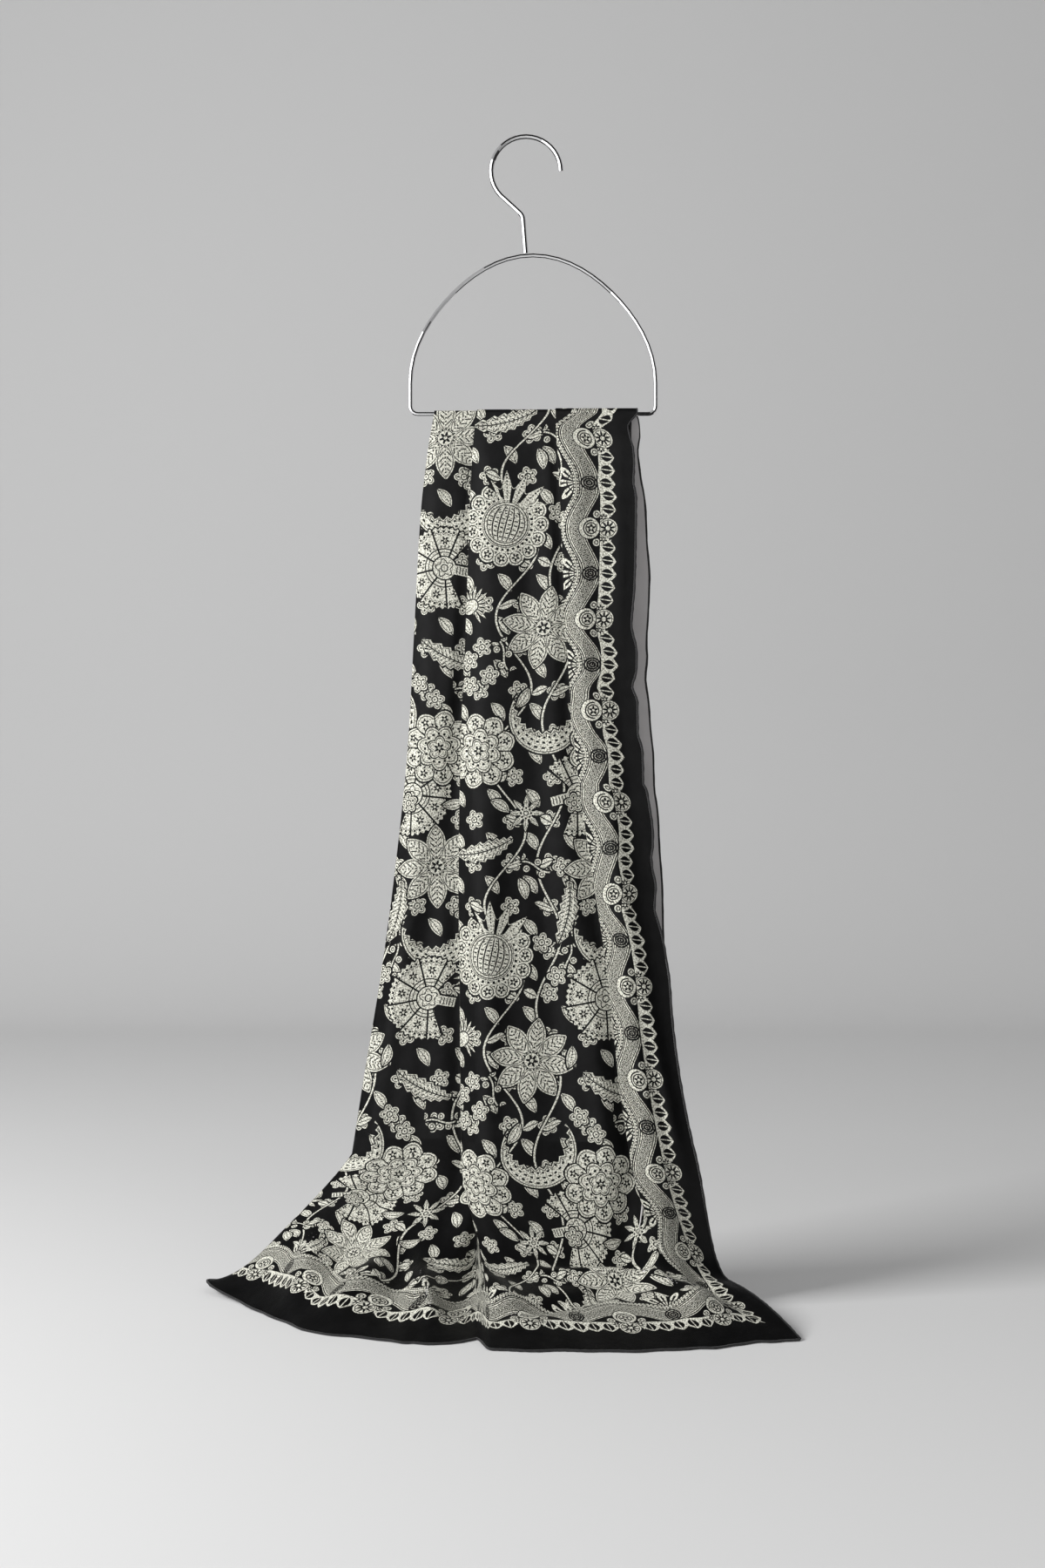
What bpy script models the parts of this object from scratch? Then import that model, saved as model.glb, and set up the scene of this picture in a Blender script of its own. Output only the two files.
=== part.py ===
"""Dupatta hung over a chrome wire hanger, its front end spreading on the floor.

One length of thin printed cloth hangs in knife pleats over the straight bar of a D-shaped
wire hanger. The cloth is lofted as a grid: a row for each section of the drop, a column for
each place across the cloth, from its right selvedge to its left one. The same columns run from
the back hem, over the bar, down the front and out over the floor, so every pleat is one fold
from end to end. Metres, +Z up, the viewer looks along +Y. The origin is the inner top of the
hook, where a rail would carry it.
"""

import math
from collections import namedtuple

import bmesh
import bpy
from mathutils import Vector

# ---------------------------------------------------------------- driving dimensions (metres)

MM = 0.001

HOOK_WIRE_RADIUS = 3.0 * MM
HOOK_RADIUS = 42.0 * MM             # centre line of the hook's round
HOOK_TIP_ANGLE = 0.0                # degrees, measured from +X about the hook's centre
HOOK_END_ANGLE = 233.0
HOOK_ELBOW = (-3.9 * MM, -92.2 * MM)   # where the hook turns into the neck (x, z)
NECK_FOOT = (-0.4 * MM, -138.0 * MM)

FRAME_WIRE_RADIUS = 2.5 * MM
FRAME_CENTRE_X = 8.4 * MM
FRAME_HALF_WIDTH = 147.8 * MM       # centre line, middle to the upright ends
FRAME_SPRING_Z = -294.5 * MM        # where the arms begin to bend over
FRAME_ARCH_RISE = 154.3 * MM
FRAME_ARCH_FLATTENING = 0.042       # share by which the arch falls short of an ellipse at 45 degrees
FRAME_CORNER_RADIUS = 9.0 * MM
BAR_Z = -331.3 * MM

FLOOR_Z = -1397.0 * MM
CLOTH_WALL = 1.0 * MM
SEAM_GAP = 0.3 * MM
HEM_RADIUS = 1.4 * MM
BAR_PITCH = 1.5                     # at the bar, from the middle of one layer to the next (mm)
BAR_INNER = (FRAME_WIRE_RADIUS + SEAM_GAP + CLOTH_WALL / 2) / MM   # and of the innermost layer
FRONT_DROP = 890.0 * MM             # bar to where the cloth starts to spread
BACK_DROP = 930.0 * MM
BREAK_SHARE = 0.45                  # how far down the train's columns its break lies
UP_AND_OUT = Vector((0.0, -0.45, 0.9))   # the way in which the train's creases stand up

# The front fall, millimetres. The edges of the three panels that show, seen from the front:
# the border panel lies between right and fold_2, the middle one ends at fold_1 and the last at
# left. tuck_2 and tuck_1 are how far each knife pleat runs back under its panel, and turned is
# the flap behind the left fold. inner is the depth of the rearmost layer in front of the bar's
# axis, pitch the depth from layer to layer, and bow how far the middle swells forward.
FallRow = namedtuple(
    "FallRow", "drop right fold_2 fold_1 left tuck_2 tuck_1 turned inner pitch bow")
FRONT_FALL = [
    FallRow(0, 133, 36, -58, -110, 80, 170, 236, BAR_INNER, BAR_PITCH, 0),
    FallRow(18, 122, 37, -61, -113, 74, 168, 231, 3.3, 1.6, 0),
    FallRow(45, 128, 39, -63, -117, 76, 170, 238, 3.5, 2.0, 0),
    FallRow(120, 131, 43, -66, -125, 72, 168, 245, 4.0, 2.6, 1),
    FallRow(250, 126, 49, -70, -132, 66, 162, 244, 5.0, 3.4, 3),
    FallRow(400, 134, 60, -76, -140, 62, 158, 240, 6.0, 4.2, 6),
    FallRow(550, 150, 81, -78, -155, 54, 136, 236, 7.0, 5.2, 9),
    FallRow(680, 168, 101, -76, -172, 42, 104, 234, 8.0, 6.4, 12),
    FallRow(800, 184, 114, -74, -191, 26, 64, 234, 9.5, 8.0, 15),
    FallRow(890, 200, 128, -72, -204, 12, 30, 234, 11.0, 10.0, 18),
]

# The back fall, the same columns on the other side of the bar.
BACK_FALL = [
    FallRow(0, 133, 36, -58, -110, 80, 170, 236, BAR_INNER, BAR_PITCH, 0),
    FallRow(40, 136, 38, -60, -113, 80, 170, 238, 3.5, 1.8, 0),
    FallRow(120, 143, 44, -62, -119, 80, 170, 240, 4.0, 2.4, 1),
    FallRow(200, 148, 49, -62, -123, 80, 168, 242, 4.5, 2.8, 1),
    FallRow(280, 145, 48, -64, -126, 78, 166, 242, 5.0, 3.2, 2),
    FallRow(400, 150, 53, -66, -132, 76, 162, 242, 5.5, 3.8, 3),
    FallRow(600, 164, 66, -70, -144, 72, 156, 242, 6.0, 4.6, 4),
    FallRow(930, 182, 82, -78, -166, 66, 148, 242, 6.0, 5.4, 6),
]

# The train, millimetres: where the cloth breaks above the floor and where its end lies, at each
# fold and at a few places between. rise is the height above the floor, steep how much of the way
# to the break runs straight down, and puff how far the last stretch stands up before it falls.
TrainStation = namedtuple(
    "TrainStation", "place break_x break_y break_rise hem_x hem_y hem_rise steep puff")
TRAIN = [
    TrainStation(0.00, 240, -62, 34, 304, -201, 2.2, 0.9, 0.9),     # right selvedge
    TrainStation(0.07, 206, -88, 42, 256, -214, 2.2, 0.9, 0.5),
    TrainStation(0.14, 170, -102, 48, 204, -235, 2.2, 0.9, 0.3),    # fold_2
    TrainStation(0.20, 128, -84, 46, 148, -248, 2.2, 0.9, 0.3),     # under fold_2
    TrainStation(0.28, 40, -104, 48, 50, -251, 2.2, 0.9, 0.3),
    TrainStation(0.36, -34, -106, 48, -20, -222, 2.2, 0.9, 0.3),    # fold_1
    TrainStation(0.42, -62, -78, 45, -62, -194, 2.2, 0.9, 0.3),     # under fold_1
    TrainStation(0.47, -92, -92, 50, -100, -222, 2.2, 0.9, 0.3),
    TrainStation(0.56, -148, -84, 56, -156, -204, 2.2, 0.8, 0.3),
    TrainStation(0.64, -206, -62, 64, -238, -168, 2.2, 0.8, 0.3),
    TrainStation(0.70, -236, -44, 70, -284, -114, 2.2, 0.8, 0.3),
    TrainStation(0.76, -270, -20, 74, -334, -38, 3, 0.5, -0.3),
    TrainStation(0.82, -296, 6, 78, -389, 38, 12, 0.2, -0.8),      # left fold, a ridge to its tip
    TrainStation(0.88, -240, 30, 62, -322, 88, 2.2, 0.5, -0.2),
    TrainStation(1.00, -104, 38, 50, -176, 118, 2.2, 0.8, 0.4),     # left selvedge, behind
]

# Soft ridges and troughs of the train: where each lies (place across, way down), how far it
# reaches to either side of that (half_across, half_down), how its line slants, and its height.
Crease = namedtuple("Crease", "place way half_across half_down slant height")
TRAIN_CREASES = [
    Crease(0.225, 0.50, 0.070, 0.075, 0.9, 9),
    Crease(0.120, 0.66, 0.050, 0.080, 0.0, 8),
    Crease(0.300, 0.62, 0.055, 0.110, -0.5, -6),
    Crease(0.560, 0.55, 0.030, 0.380, 0.0, -7),
    Crease(0.640, 0.62, 0.032, 0.360, 0.0, 8),
    Crease(0.715, 0.60, 0.026, 0.320, 0.0, -6),
    Crease(0.930, 0.60, 0.030, 0.350, 0.0, 7),
]

FOLD_PLACES = (0.0, 0.14, 0.20, 0.36, 0.42, 0.82, 1.0)   # the selvedges and the five folds
FOLD_SPREAD = 0.06                  # share of a panel that its fold opens out over, in the train

# Columns across the cloth: how many steps each stretch takes between folds, and round a fold.
PANEL_STEPS = {"border": 7, "under_2": 3, "middle": 10, "under_1": 5, "last": 10, "flap": 6}
FOLD_STEPS = 3
FALL_ROWS = 14
TRAIN_ROWS = 13
BAR_ROWS = 6
BACK_ROWS = 9
ROW_CROWDING = 1.15                 # rows lie closer together near the bar

# ---------------------------------------------------------------- materials

PRINT_BLACK = (0.012, 0.012, 0.013, 1.0)
HEM_BLACK = (0.008, 0.008, 0.009, 1.0)
CHROME = (0.78, 0.79, 0.80, 1.0)


def make_material(name, colour, roughness, metallic):
    """A Principled material of one colour."""
    material = bpy.data.materials.new(name)
    material.use_nodes = True
    shader = material.node_tree.nodes["Principled BSDF"]
    shader.inputs["Base Color"].default_value = colour
    shader.inputs["Roughness"].default_value = roughness
    shader.inputs["Metallic"].default_value = metallic
    return material


# ---------------------------------------------------------------- tables as smooth functions

def monotone_slopes(xs, ys):
    """Slopes at each station that keep a cubic from overshooting its table."""
    steps = [xs[i + 1] - xs[i] for i in range(len(xs) - 1)]
    rates = [(ys[i + 1] - ys[i]) / steps[i] for i in range(len(steps))]
    slopes = [rates[0]]
    for before, after in zip(rates, rates[1:]):
        level = before * after <= 0.0
        slopes.append(0.0 if level else 2.0 * before * after / (before + after))
    slopes.append(rates[-1])
    return slopes


def cubic_table(xs, ys):
    """A smooth function through a table's column."""
    slopes = monotone_slopes(xs, ys)

    def read(x):
        x = min(max(x, xs[0]), xs[-1])
        i = max(k for k in range(len(xs) - 1) if xs[k] <= x)
        step = xs[i + 1] - xs[i]
        u = (x - xs[i]) / step
        rise = u * u * (3.0 - 2.0 * u)
        leave = u * (1.0 - u) ** 2 * slopes[i]
        arrive = u * u * (u - 1.0) * slopes[i + 1]
        return ys[i] + (ys[i + 1] - ys[i]) * rise + step * (leave + arrive)

    return read


def table_reader(table, key):
    """Reads a whole row of a table at any value of its key column."""
    xs = [getattr(row, key) for row in table]
    readers = {name: cubic_table(xs, [getattr(row, name) for row in table])
               for name in table[0]._fields if name != key}
    row_type = namedtuple("Read", readers)
    return lambda x: row_type(**{name: read(x) for name, read in readers.items()})


read_front = table_reader(FRONT_FALL, "drop")
read_back = table_reader(BACK_FALL, "drop")
read_train = table_reader(TRAIN, "place")


# ---------------------------------------------------------------- the pleated section

def layer_run(start_x, end_x, layer, steps):
    """Places along one layer between two folds, without its ends."""
    return [(start_x + (end_x - start_x) * k / steps, layer, 0.0) for k in range(1, steps)]


def fold_run(x, layer, side):
    """Places round a fold, from one layer to the next one behind it."""
    turns = [math.pi * k / FOLD_STEPS for k in range(FOLD_STEPS + 1)]
    return [(x, layer + 0.5 - 0.5 * math.cos(turn), side * math.sin(turn)) for turn in turns]


def section(row):
    """The cloth's middle line at one height: (x, depth in front of the bar's axis), in metres.

    Layers are counted from the front: 0 border panel, 1 under it, 2 middle panel, 3 under it,
    4 last panel, 5 the flap behind the left fold.
    """
    under_2 = row.fold_2 + row.tuck_2
    under_1 = row.fold_1 + row.tuck_1
    selvedge = row.left + row.turned
    places = [(row.right, 0.0, 0.0)]
    places += layer_run(row.right, row.fold_2, 0.0, PANEL_STEPS["border"])
    places += fold_run(row.fold_2, 0.0, -1.0)
    places += layer_run(row.fold_2, under_2, 1.0, PANEL_STEPS["under_2"])
    places += fold_run(under_2, 1.0, 1.0)
    places += layer_run(under_2, row.fold_1, 2.0, PANEL_STEPS["middle"])
    places += fold_run(row.fold_1, 2.0, -1.0)
    places += layer_run(row.fold_1, under_1, 3.0, PANEL_STEPS["under_1"])
    places += fold_run(under_1, 3.0, 1.0)
    places += layer_run(under_1, row.left, 4.0, PANEL_STEPS["last"])
    places += fold_run(row.left, 4.0, -1.0)
    places += layer_run(row.left, selvedge, 5.0, PANEL_STEPS["flap"])
    places.append((selvedge, 5.0, 0.0))
    middle = (row.right + row.left) / 2
    half_width = (row.right - row.left) / 2
    points = []
    for x, layer, bulge in places:
        x += bulge * row.pitch / 2
        swell = row.bow * math.cos(0.5 * math.pi * (x - middle) / half_width)
        points.append((x * MM, (row.inner + (5.0 - layer) * row.pitch + swell) * MM))
    return points


def front_row(drop):
    """One row of the front fall."""
    row = read_front(drop / MM)
    return [Vector((x, -depth, BAR_Z - drop)) for x, depth in section(row)]


def back_row(drop):
    """One row of the back fall."""
    row = read_back(drop / MM)
    return [Vector((x, depth, BAR_Z - drop)) for x, depth in section(row)]


def bar_row(angle):
    """One row of the turn over the bar, 0 at its front and pi at its back."""
    return [Vector((x, -depth * math.cos(angle), BAR_Z + depth * math.sin(angle)))
            for x, depth in section(read_front(0.0))]


# ---------------------------------------------------------------- the train

def hermite(start, start_slope, end, end_slope, u):
    """A point on the cubic between two points with given slopes."""
    return (start * (2 * u ** 3 - 3 * u ** 2 + 1) + start_slope * (u ** 3 - 2 * u ** 2 + u)
            + end * (3 * u ** 2 - 2 * u ** 3) + end_slope * (u ** 3 - u ** 2))


def train_places():
    """Where each column lies across the train: folds open out, so their columns spread."""
    counts = list(PANEL_STEPS.values())
    widths = [end - start for start, end in zip(FOLD_PLACES, FOLD_PLACES[1:])]
    starts = [FOLD_PLACES[0]]
    starts += [place + FOLD_SPREAD * width for place, width in zip(FOLD_PLACES[1:], widths[1:])]
    ends = [place - FOLD_SPREAD * width for place, width in zip(FOLD_PLACES[1:], widths)]
    ends[-1] = FOLD_PLACES[-1]
    places = [FOLD_PLACES[0]]
    for index, count in enumerate(counts):
        start, end = starts[index], ends[index]
        places += [start + (end - start) * k / count for k in range(1, count)]
        if index + 1 < len(counts):
            opened = starts[index + 1] - end
            places += [end + opened * k / FOLD_STEPS for k in range(FOLD_STEPS + 1)]
    places.append(FOLD_PLACES[-1])
    return places


def train_column(top, above, station, u):
    """A point on one column of the train, u from 0 at its top to 1 at the cloth's end."""
    break_point = Vector((station.break_x, station.break_y, 0.0)) * MM
    break_point.z = FLOOR_Z + station.break_rise * MM
    hem = Vector((station.hem_x, station.hem_y, 0.0)) * MM
    hem.z = FLOOR_Z + station.hem_rise * MM + CLOTH_WALL / 2
    fall = (break_point - top).length
    spread = (hem - break_point).length
    down = (top - above).normalized().lerp((break_point - top).normalized(), 1.0 - station.steep)
    outward = Vector((hem.x - break_point.x, hem.y - break_point.y, 0.0)).normalized()
    slope = (break_point.z - hem.z) / spread
    through = (outward - Vector((0.0, 0.0, slope * (1.0 - station.puff)))).normalized()
    level = (outward - Vector((0.0, 0.0, slope * (1.0 + station.puff)))).normalized()
    if u <= BREAK_SHARE:
        return hermite(top, down * fall, break_point, through * fall, u / BREAK_SHARE)
    return hermite(break_point, through * spread, hem, level * spread,
                   (u - BREAK_SHARE) / (1.0 - BREAK_SHARE))


def crease_height(place, way):
    """How far the creases lift the train at one place, none at its top and its end."""
    height = 0.0
    for crease in TRAIN_CREASES:
        down = (way - crease.way) / crease.half_down
        middle = crease.place - crease.slant * (way - crease.way)
        across = (place - middle) / crease.half_across
        height += crease.height * MM * math.exp(-across * across - down * down)
    return height * math.sin(math.pi * way) ** 0.5


def train_rows(top_row, row_above):
    """The rows of the train, from the end of the front fall to the cloth's end."""
    places = train_places()
    rows = []
    for k in range(TRAIN_ROWS + 1):
        u = k / TRAIN_ROWS
        row = [train_column(top, above, read_train(place), u)
               for top, above, place in zip(top_row, row_above, places)]
        rows.append([point + UP_AND_OUT * crease_height(place, u)
                     for point, place in zip(row, places)])
    return rows


# ---------------------------------------------------------------- building

def collection_for(name):
    """A new collection in the scene."""
    collection = bpy.data.collections.new(name)
    bpy.context.scene.collection.children.link(collection)
    return collection


def add_object(name, data, material, collection):
    """An object with its own material."""
    data.materials.append(material)
    thing = bpy.data.objects.new(name, data)
    collection.objects.link(thing)
    return thing


def part_seam(rows, at_start, at_end):
    """Draws the first or last row of a stretch in by half the seam's gap."""
    rows = [list(row) for row in rows]
    if at_start:
        rows[0] = [a + (b - a).normalized() * SEAM_GAP / 2 for a, b in zip(rows[0], rows[1])]
    if at_end:
        rows[-1] = [a + (b - a).normalized() * SEAM_GAP / 2 for a, b in zip(rows[-1], rows[-2])]
    return rows


def cloth_stretch(name, rows, material, collection):
    """A stretch of cloth: an open lofted sheet, thickened evenly to both sides."""
    mesh = bmesh.new()
    grid = [[mesh.verts.new(point) for point in row] for row in rows]
    for upper, lower in zip(grid, grid[1:]):
        for i in range(len(upper) - 1):
            mesh.faces.new((upper[i], upper[i + 1], lower[i + 1], lower[i]))
    sheet = bpy.data.meshes.new(name)
    mesh.to_mesh(sheet)
    mesh.free()
    sheet.shade_smooth()
    thing = add_object(name, sheet, material, collection)
    wall = thing.modifiers.new("wall", "SOLIDIFY")
    wall.thickness = CLOTH_WALL
    wall.offset = 0.0
    wall.use_even_offset = True
    return thing


def tube(name, points, radius, material, collection, closed=False, bevel_resolution=2):
    """A round wire or roll along a line of points."""
    curve = bpy.data.curves.new(name, "CURVE")
    curve.dimensions = "3D"
    curve.resolution_u = 1
    curve.render_resolution_u = 0
    curve.bevel_depth = radius
    curve.bevel_resolution = bevel_resolution
    curve.use_fill_caps = True
    spline = curve.splines.new("POLY")
    spline.points.add(len(points) - 1)
    for place, point in zip(spline.points, points):
        place.co = (*point, 1.0)
    spline.use_cyclic_u = closed
    return add_object(name, curve, material, collection)


# ---------------------------------------------------------------- the hanger

def arc_points(centre, radius, start, end, steps):
    """Points along an arc in the hanger's plane, angles in degrees from +X."""
    angles = [math.radians(start + (end - start) * k / steps) for k in range(steps + 1)]
    return [Vector((centre[0] + radius * math.cos(a), 0.0, centre[1] + radius * math.sin(a)))
            for a in angles]


def frame_points():
    """The D of the hanger: an arch, two corners and the bar between them."""
    points = []
    arch_steps = 30
    for k in range(arch_steps + 1):
        angle = math.pi * k / arch_steps
        reach = 1.0 - FRAME_ARCH_FLATTENING * math.sin(2.0 * angle) ** 2
        points.append(Vector((
            FRAME_CENTRE_X + FRAME_HALF_WIDTH * reach * math.cos(angle), 0.0,
            FRAME_SPRING_Z + FRAME_ARCH_RISE * reach * math.sin(angle))))
    corner_z = BAR_Z + FRAME_CORNER_RADIUS
    inset = FRAME_HALF_WIDTH - FRAME_CORNER_RADIUS
    left = (FRAME_CENTRE_X - inset, corner_z)
    right = (FRAME_CENTRE_X + inset, corner_z)
    points += arc_points(left, FRAME_CORNER_RADIUS, 180.0, 270.0, 5)
    points += arc_points(right, FRAME_CORNER_RADIUS, 270.0, 360.0, 5)
    return points


def hook_points():
    """The hook from its tip, over the rail, round to the elbow and down the neck."""
    centre = (0.0, HOOK_WIRE_RADIUS - HOOK_RADIUS)
    points = arc_points(centre, HOOK_RADIUS, HOOK_TIP_ANGLE, HOOK_END_ANGLE, 26)
    elbow = Vector((HOOK_ELBOW[0], 0.0, HOOK_ELBOW[1]))
    foot = Vector((NECK_FOOT[0], 0.0, NECK_FOOT[1]))
    round_off = 5.0 * MM
    before = elbow + (points[-1] - elbow).normalized() * round_off
    after = elbow + (foot - elbow).normalized() * round_off
    for k in range(5):
        u = k / 4
        points.append(before * (1 - u) ** 2 + elbow * 2 * u * (1 - u) + after * u * u)
    points.append(foot)
    return points


# ---------------------------------------------------------------- hems

def hem_line(edge, inside):
    """The line of a rolled hem: an edge of the cloth moved out, square to it, clear of its rim."""
    line = []
    for k, (point, inner) in enumerate(zip(edge, inside)):
        along = (edge[min(k + 1, len(edge) - 1)] - edge[max(k - 1, 0)]).normalized()
        outward = point - inner
        outward -= along * outward.dot(along)
        line.append(point + outward.normalized() * (HEM_RADIUS + SEAM_GAP))
    return line


def clear_of_bar(line):
    """Keeps a roll that crosses the bar on top of the wire."""
    nearest = FRAME_WIRE_RADIUS + SEAM_GAP + HEM_RADIUS
    cleared = []
    for point in line:
        axis = Vector((point.x, 0.0, BAR_Z))
        away = point - axis
        cleared.append(axis + away.normalized() * max(away.length, nearest))
    return cleared


def lift_to_floor(line):
    """Keeps a roll that lies on the floor from sinking into it."""
    lowest = FLOOR_Z + HEM_RADIUS
    return [Vector((p.x, p.y, max(p.z, lowest))) for p in line]


# ---------------------------------------------------------------- the whole

def build_cloth(collection):
    """The four stretches of cloth and the hems round them."""
    fall = [front_row(FRONT_DROP * (k / FALL_ROWS) ** ROW_CROWDING)
            for k in range(FALL_ROWS + 1)]
    train = train_rows(fall[-1], fall[-2])
    turn = [bar_row(math.pi * k / BAR_ROWS) for k in range(BAR_ROWS + 1)]
    back = [back_row(BACK_DROP * (k / BACK_ROWS) ** ROW_CROWDING)
            for k in range(BACK_ROWS + 1)]

    cloth = make_material("printed_cloth", PRINT_BLACK, 0.62, 0.0)
    cloth_stretch("cloth_front_fall", part_seam(fall, True, True), cloth, collection)
    cloth_stretch("cloth_floor_train", part_seam(train, True, False), cloth, collection)
    cloth_stretch("cloth_over_bar", part_seam(turn[::-1], True, True), cloth, collection)
    cloth_stretch("cloth_back_fall", part_seam(back[::-1], False, True), cloth, collection)

    whole = back[:0:-1] + turn[:0:-1] + fall + train[1:]
    hem = make_material("rolled_hem", HEM_BLACK, 0.6, 0.0)
    right = hem_line([row[0] for row in whole], [row[1] for row in whole])
    left = hem_line([row[-1] for row in whole], [row[-2] for row in whole])
    front_end = hem_line(train[-1], train[-2])
    back_end = hem_line(back[-1], back[-2])
    for name, line in (("hem_right", right), ("hem_left", clear_of_bar(left)),
                       ("hem_front_end", front_end), ("hem_back_end", back_end)):
        tube(name, lift_to_floor(line), HEM_RADIUS, hem, collection, bevel_resolution=1)


def build_hanger(collection):
    """The wire frame and its hook."""
    chrome = make_material("polished_chrome", CHROME, 0.08, 1.0)
    tube("hanger_frame", frame_points(), FRAME_WIRE_RADIUS, chrome, collection, closed=True)
    tube("hanger_hook", hook_points(), HOOK_WIRE_RADIUS, chrome, collection)


for leftover in list(bpy.data.objects):
    bpy.data.objects.remove(leftover, do_unlink=True)

part = collection_for("dupatta_on_hanger")
build_cloth(part)
build_hanger(part)
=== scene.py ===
"""Dupatta hung over a chrome wire hanger, dressed for rendering.

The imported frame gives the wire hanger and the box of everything. The cloth is built here as two
thin closed shells, the front one from the top of the bar down to the floor and out over it, the
back one from the bar to its hem. Both are grids with the same columns, so that each knife pleat
is one fold from end to end. Every point of the cloth carries its place in the flat cloth, and
the print is drawn there by shader nodes. Metres, +Z up, the viewer looks along +Y.
"""

import math
from collections import namedtuple
from functools import partialmethod

import bpy
import numpy as np
from bpy.props import FloatProperty, PointerProperty
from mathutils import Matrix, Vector


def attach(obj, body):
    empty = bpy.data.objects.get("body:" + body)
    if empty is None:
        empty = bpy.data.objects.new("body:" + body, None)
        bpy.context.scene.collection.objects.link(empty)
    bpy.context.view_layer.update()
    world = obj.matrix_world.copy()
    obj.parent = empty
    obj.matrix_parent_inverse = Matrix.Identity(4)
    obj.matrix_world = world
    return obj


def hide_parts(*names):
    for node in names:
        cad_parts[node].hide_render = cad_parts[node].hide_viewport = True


bl_info = {
    "name": "Dupatta on a wire hanger",
    "version": (1, 0, 0),
    "blender": (4, 5, 0),
    "location": "3D View > Sidebar > Dupatta",
    "description": "Builds a printed dupatta in knife pleats over a chrome wire hanger",
    "category": "Add Mesh",
}

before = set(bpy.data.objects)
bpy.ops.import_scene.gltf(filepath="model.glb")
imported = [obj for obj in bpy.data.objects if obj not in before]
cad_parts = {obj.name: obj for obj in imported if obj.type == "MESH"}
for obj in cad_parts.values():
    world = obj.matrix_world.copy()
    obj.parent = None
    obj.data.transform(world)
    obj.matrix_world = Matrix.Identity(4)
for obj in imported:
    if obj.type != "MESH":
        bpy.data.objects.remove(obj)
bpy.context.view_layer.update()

# ---------------------------------------------------------------- shape tables (millimetres)

MM = 0.001
BAR_Z = -331.3
FLOOR_Z = -1397.0
FRONT_DROP = 890.0
BACK_DROP = 930.0
BAR_WIRE_RADIUS = 2.5
TURN_RADIUS = 4.0                   # of the cloth's middle layers over the bar
QUARTER_TURN = math.pi / 2 * TURN_RADIUS
BREAK_SHARE = 0.45                  # of a train column's rows, from the fall to its break
ROLL_OFF_RIM = 0.06                 # from the shell's rim to its rolled edge
ROLL_OFF_BAR = 0.1                  # from the bar's wire to a rolled edge
UP_AND_OUT = np.array((0.0, -0.45, 0.9))

FallRow = namedtuple("FallRow", "drop fold_2 fold_1 left tuck_2 tuck_1 turned inner pitch bow")
FRONT_FALL = [FallRow(*row) for row in (
    (0, 36, -58, -110, 80, 170, 236, 2.9, 0.75, 0),
    (18, 37, -61, -113, 74, 168, 229, 3.0, 1.4, 0),
    (45, 39, -63, -117, 76, 170, 238, 3.3, 2.2, 0),
    (120, 43, -66, -125, 72, 168, 245, 4.0, 3.1, 1),
    (250, 49, -70, -132, 66, 162, 244, 5.0, 3.7, 3),
    (400, 60, -76, -140, 62, 158, 240, 6.0, 4.2, 6),
    (550, 81, -78, -155, 54, 136, 236, 7.0, 5.2, 9),
    (680, 101, -76, -172, 42, 104, 234, 8.0, 6.4, 12),
    (800, 114, -74, -191, 26, 64, 234, 9.5, 8.0, 15),
    (890, 128, -72, -204, 12, 30, 234, 11.0, 10.0, 18),
)]
BACK_FALL = [FallRow(*row) for row in (
    (0, 36, -58, -110, 80, 170, 236, 2.9, 0.75, 0),
    (40, 38, -60, -113, 80, 170, 238, 3.3, 1.4, 0),
    (120, 44, -62, -119, 80, 170, 240, 4.0, 2.4, 1),
    (200, 49, -62, -123, 80, 168, 242, 4.5, 2.8, 1),
    (280, 48, -64, -126, 78, 166, 242, 5.0, 3.2, 2),
    (400, 53, -66, -132, 76, 162, 242, 5.5, 3.8, 3),
    (600, 66, -70, -144, 72, 156, 242, 6.0, 4.6, 4),
    (930, 82, -78, -166, 66, 148, 242, 6.0, 5.4, 6),
)]

# The right selvedge wavers as it falls, in front and behind.
EdgeRow = namedtuple("EdgeRow", "drop right")
FRONT_EDGE = [EdgeRow(*row) for row in (
    (0, 133), (4.4, 129.8), (17, 121.4), (29, 123.4), (44, 127.5), (66, 128.5), (83, 127.4),
    (103, 130.5), (121, 130.4), (187, 129.2), (215, 128.1), (257, 124.9), (288, 131),
    (309, 130.9), (330, 125.7), (348, 131.8), (384, 132.2), (408, 137.9), (446, 138.8),
    (452, 142), (480, 147), (503, 150), (523, 149.9), (532, 147.8), (549, 149.7), (569, 153.3),
    (593, 151.6), (611, 156.1), (623, 159.6), (649, 164.6), (683, 169.5), (713, 171.4),
    (753, 175.3), (796, 181.2), (847, 190.3), (890, 200))]
BACK_EDGE = [EdgeRow(*row) for row in (
    (0, 133), (3, 134.3), (23, 136.9), (40, 134.3), (76, 137.7), (100, 142.4), (157, 145.8),
    (196, 148.5), (232, 147.6), (279, 145), (290, 146), (317, 143.9), (347, 147.9),
    (383, 150.6), (410, 153.7), (450, 154.8), (482, 159.2), (525, 161.3), (572, 164.7),
    (629, 166), (720, 171), (830, 176), (930, 182))]

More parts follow.
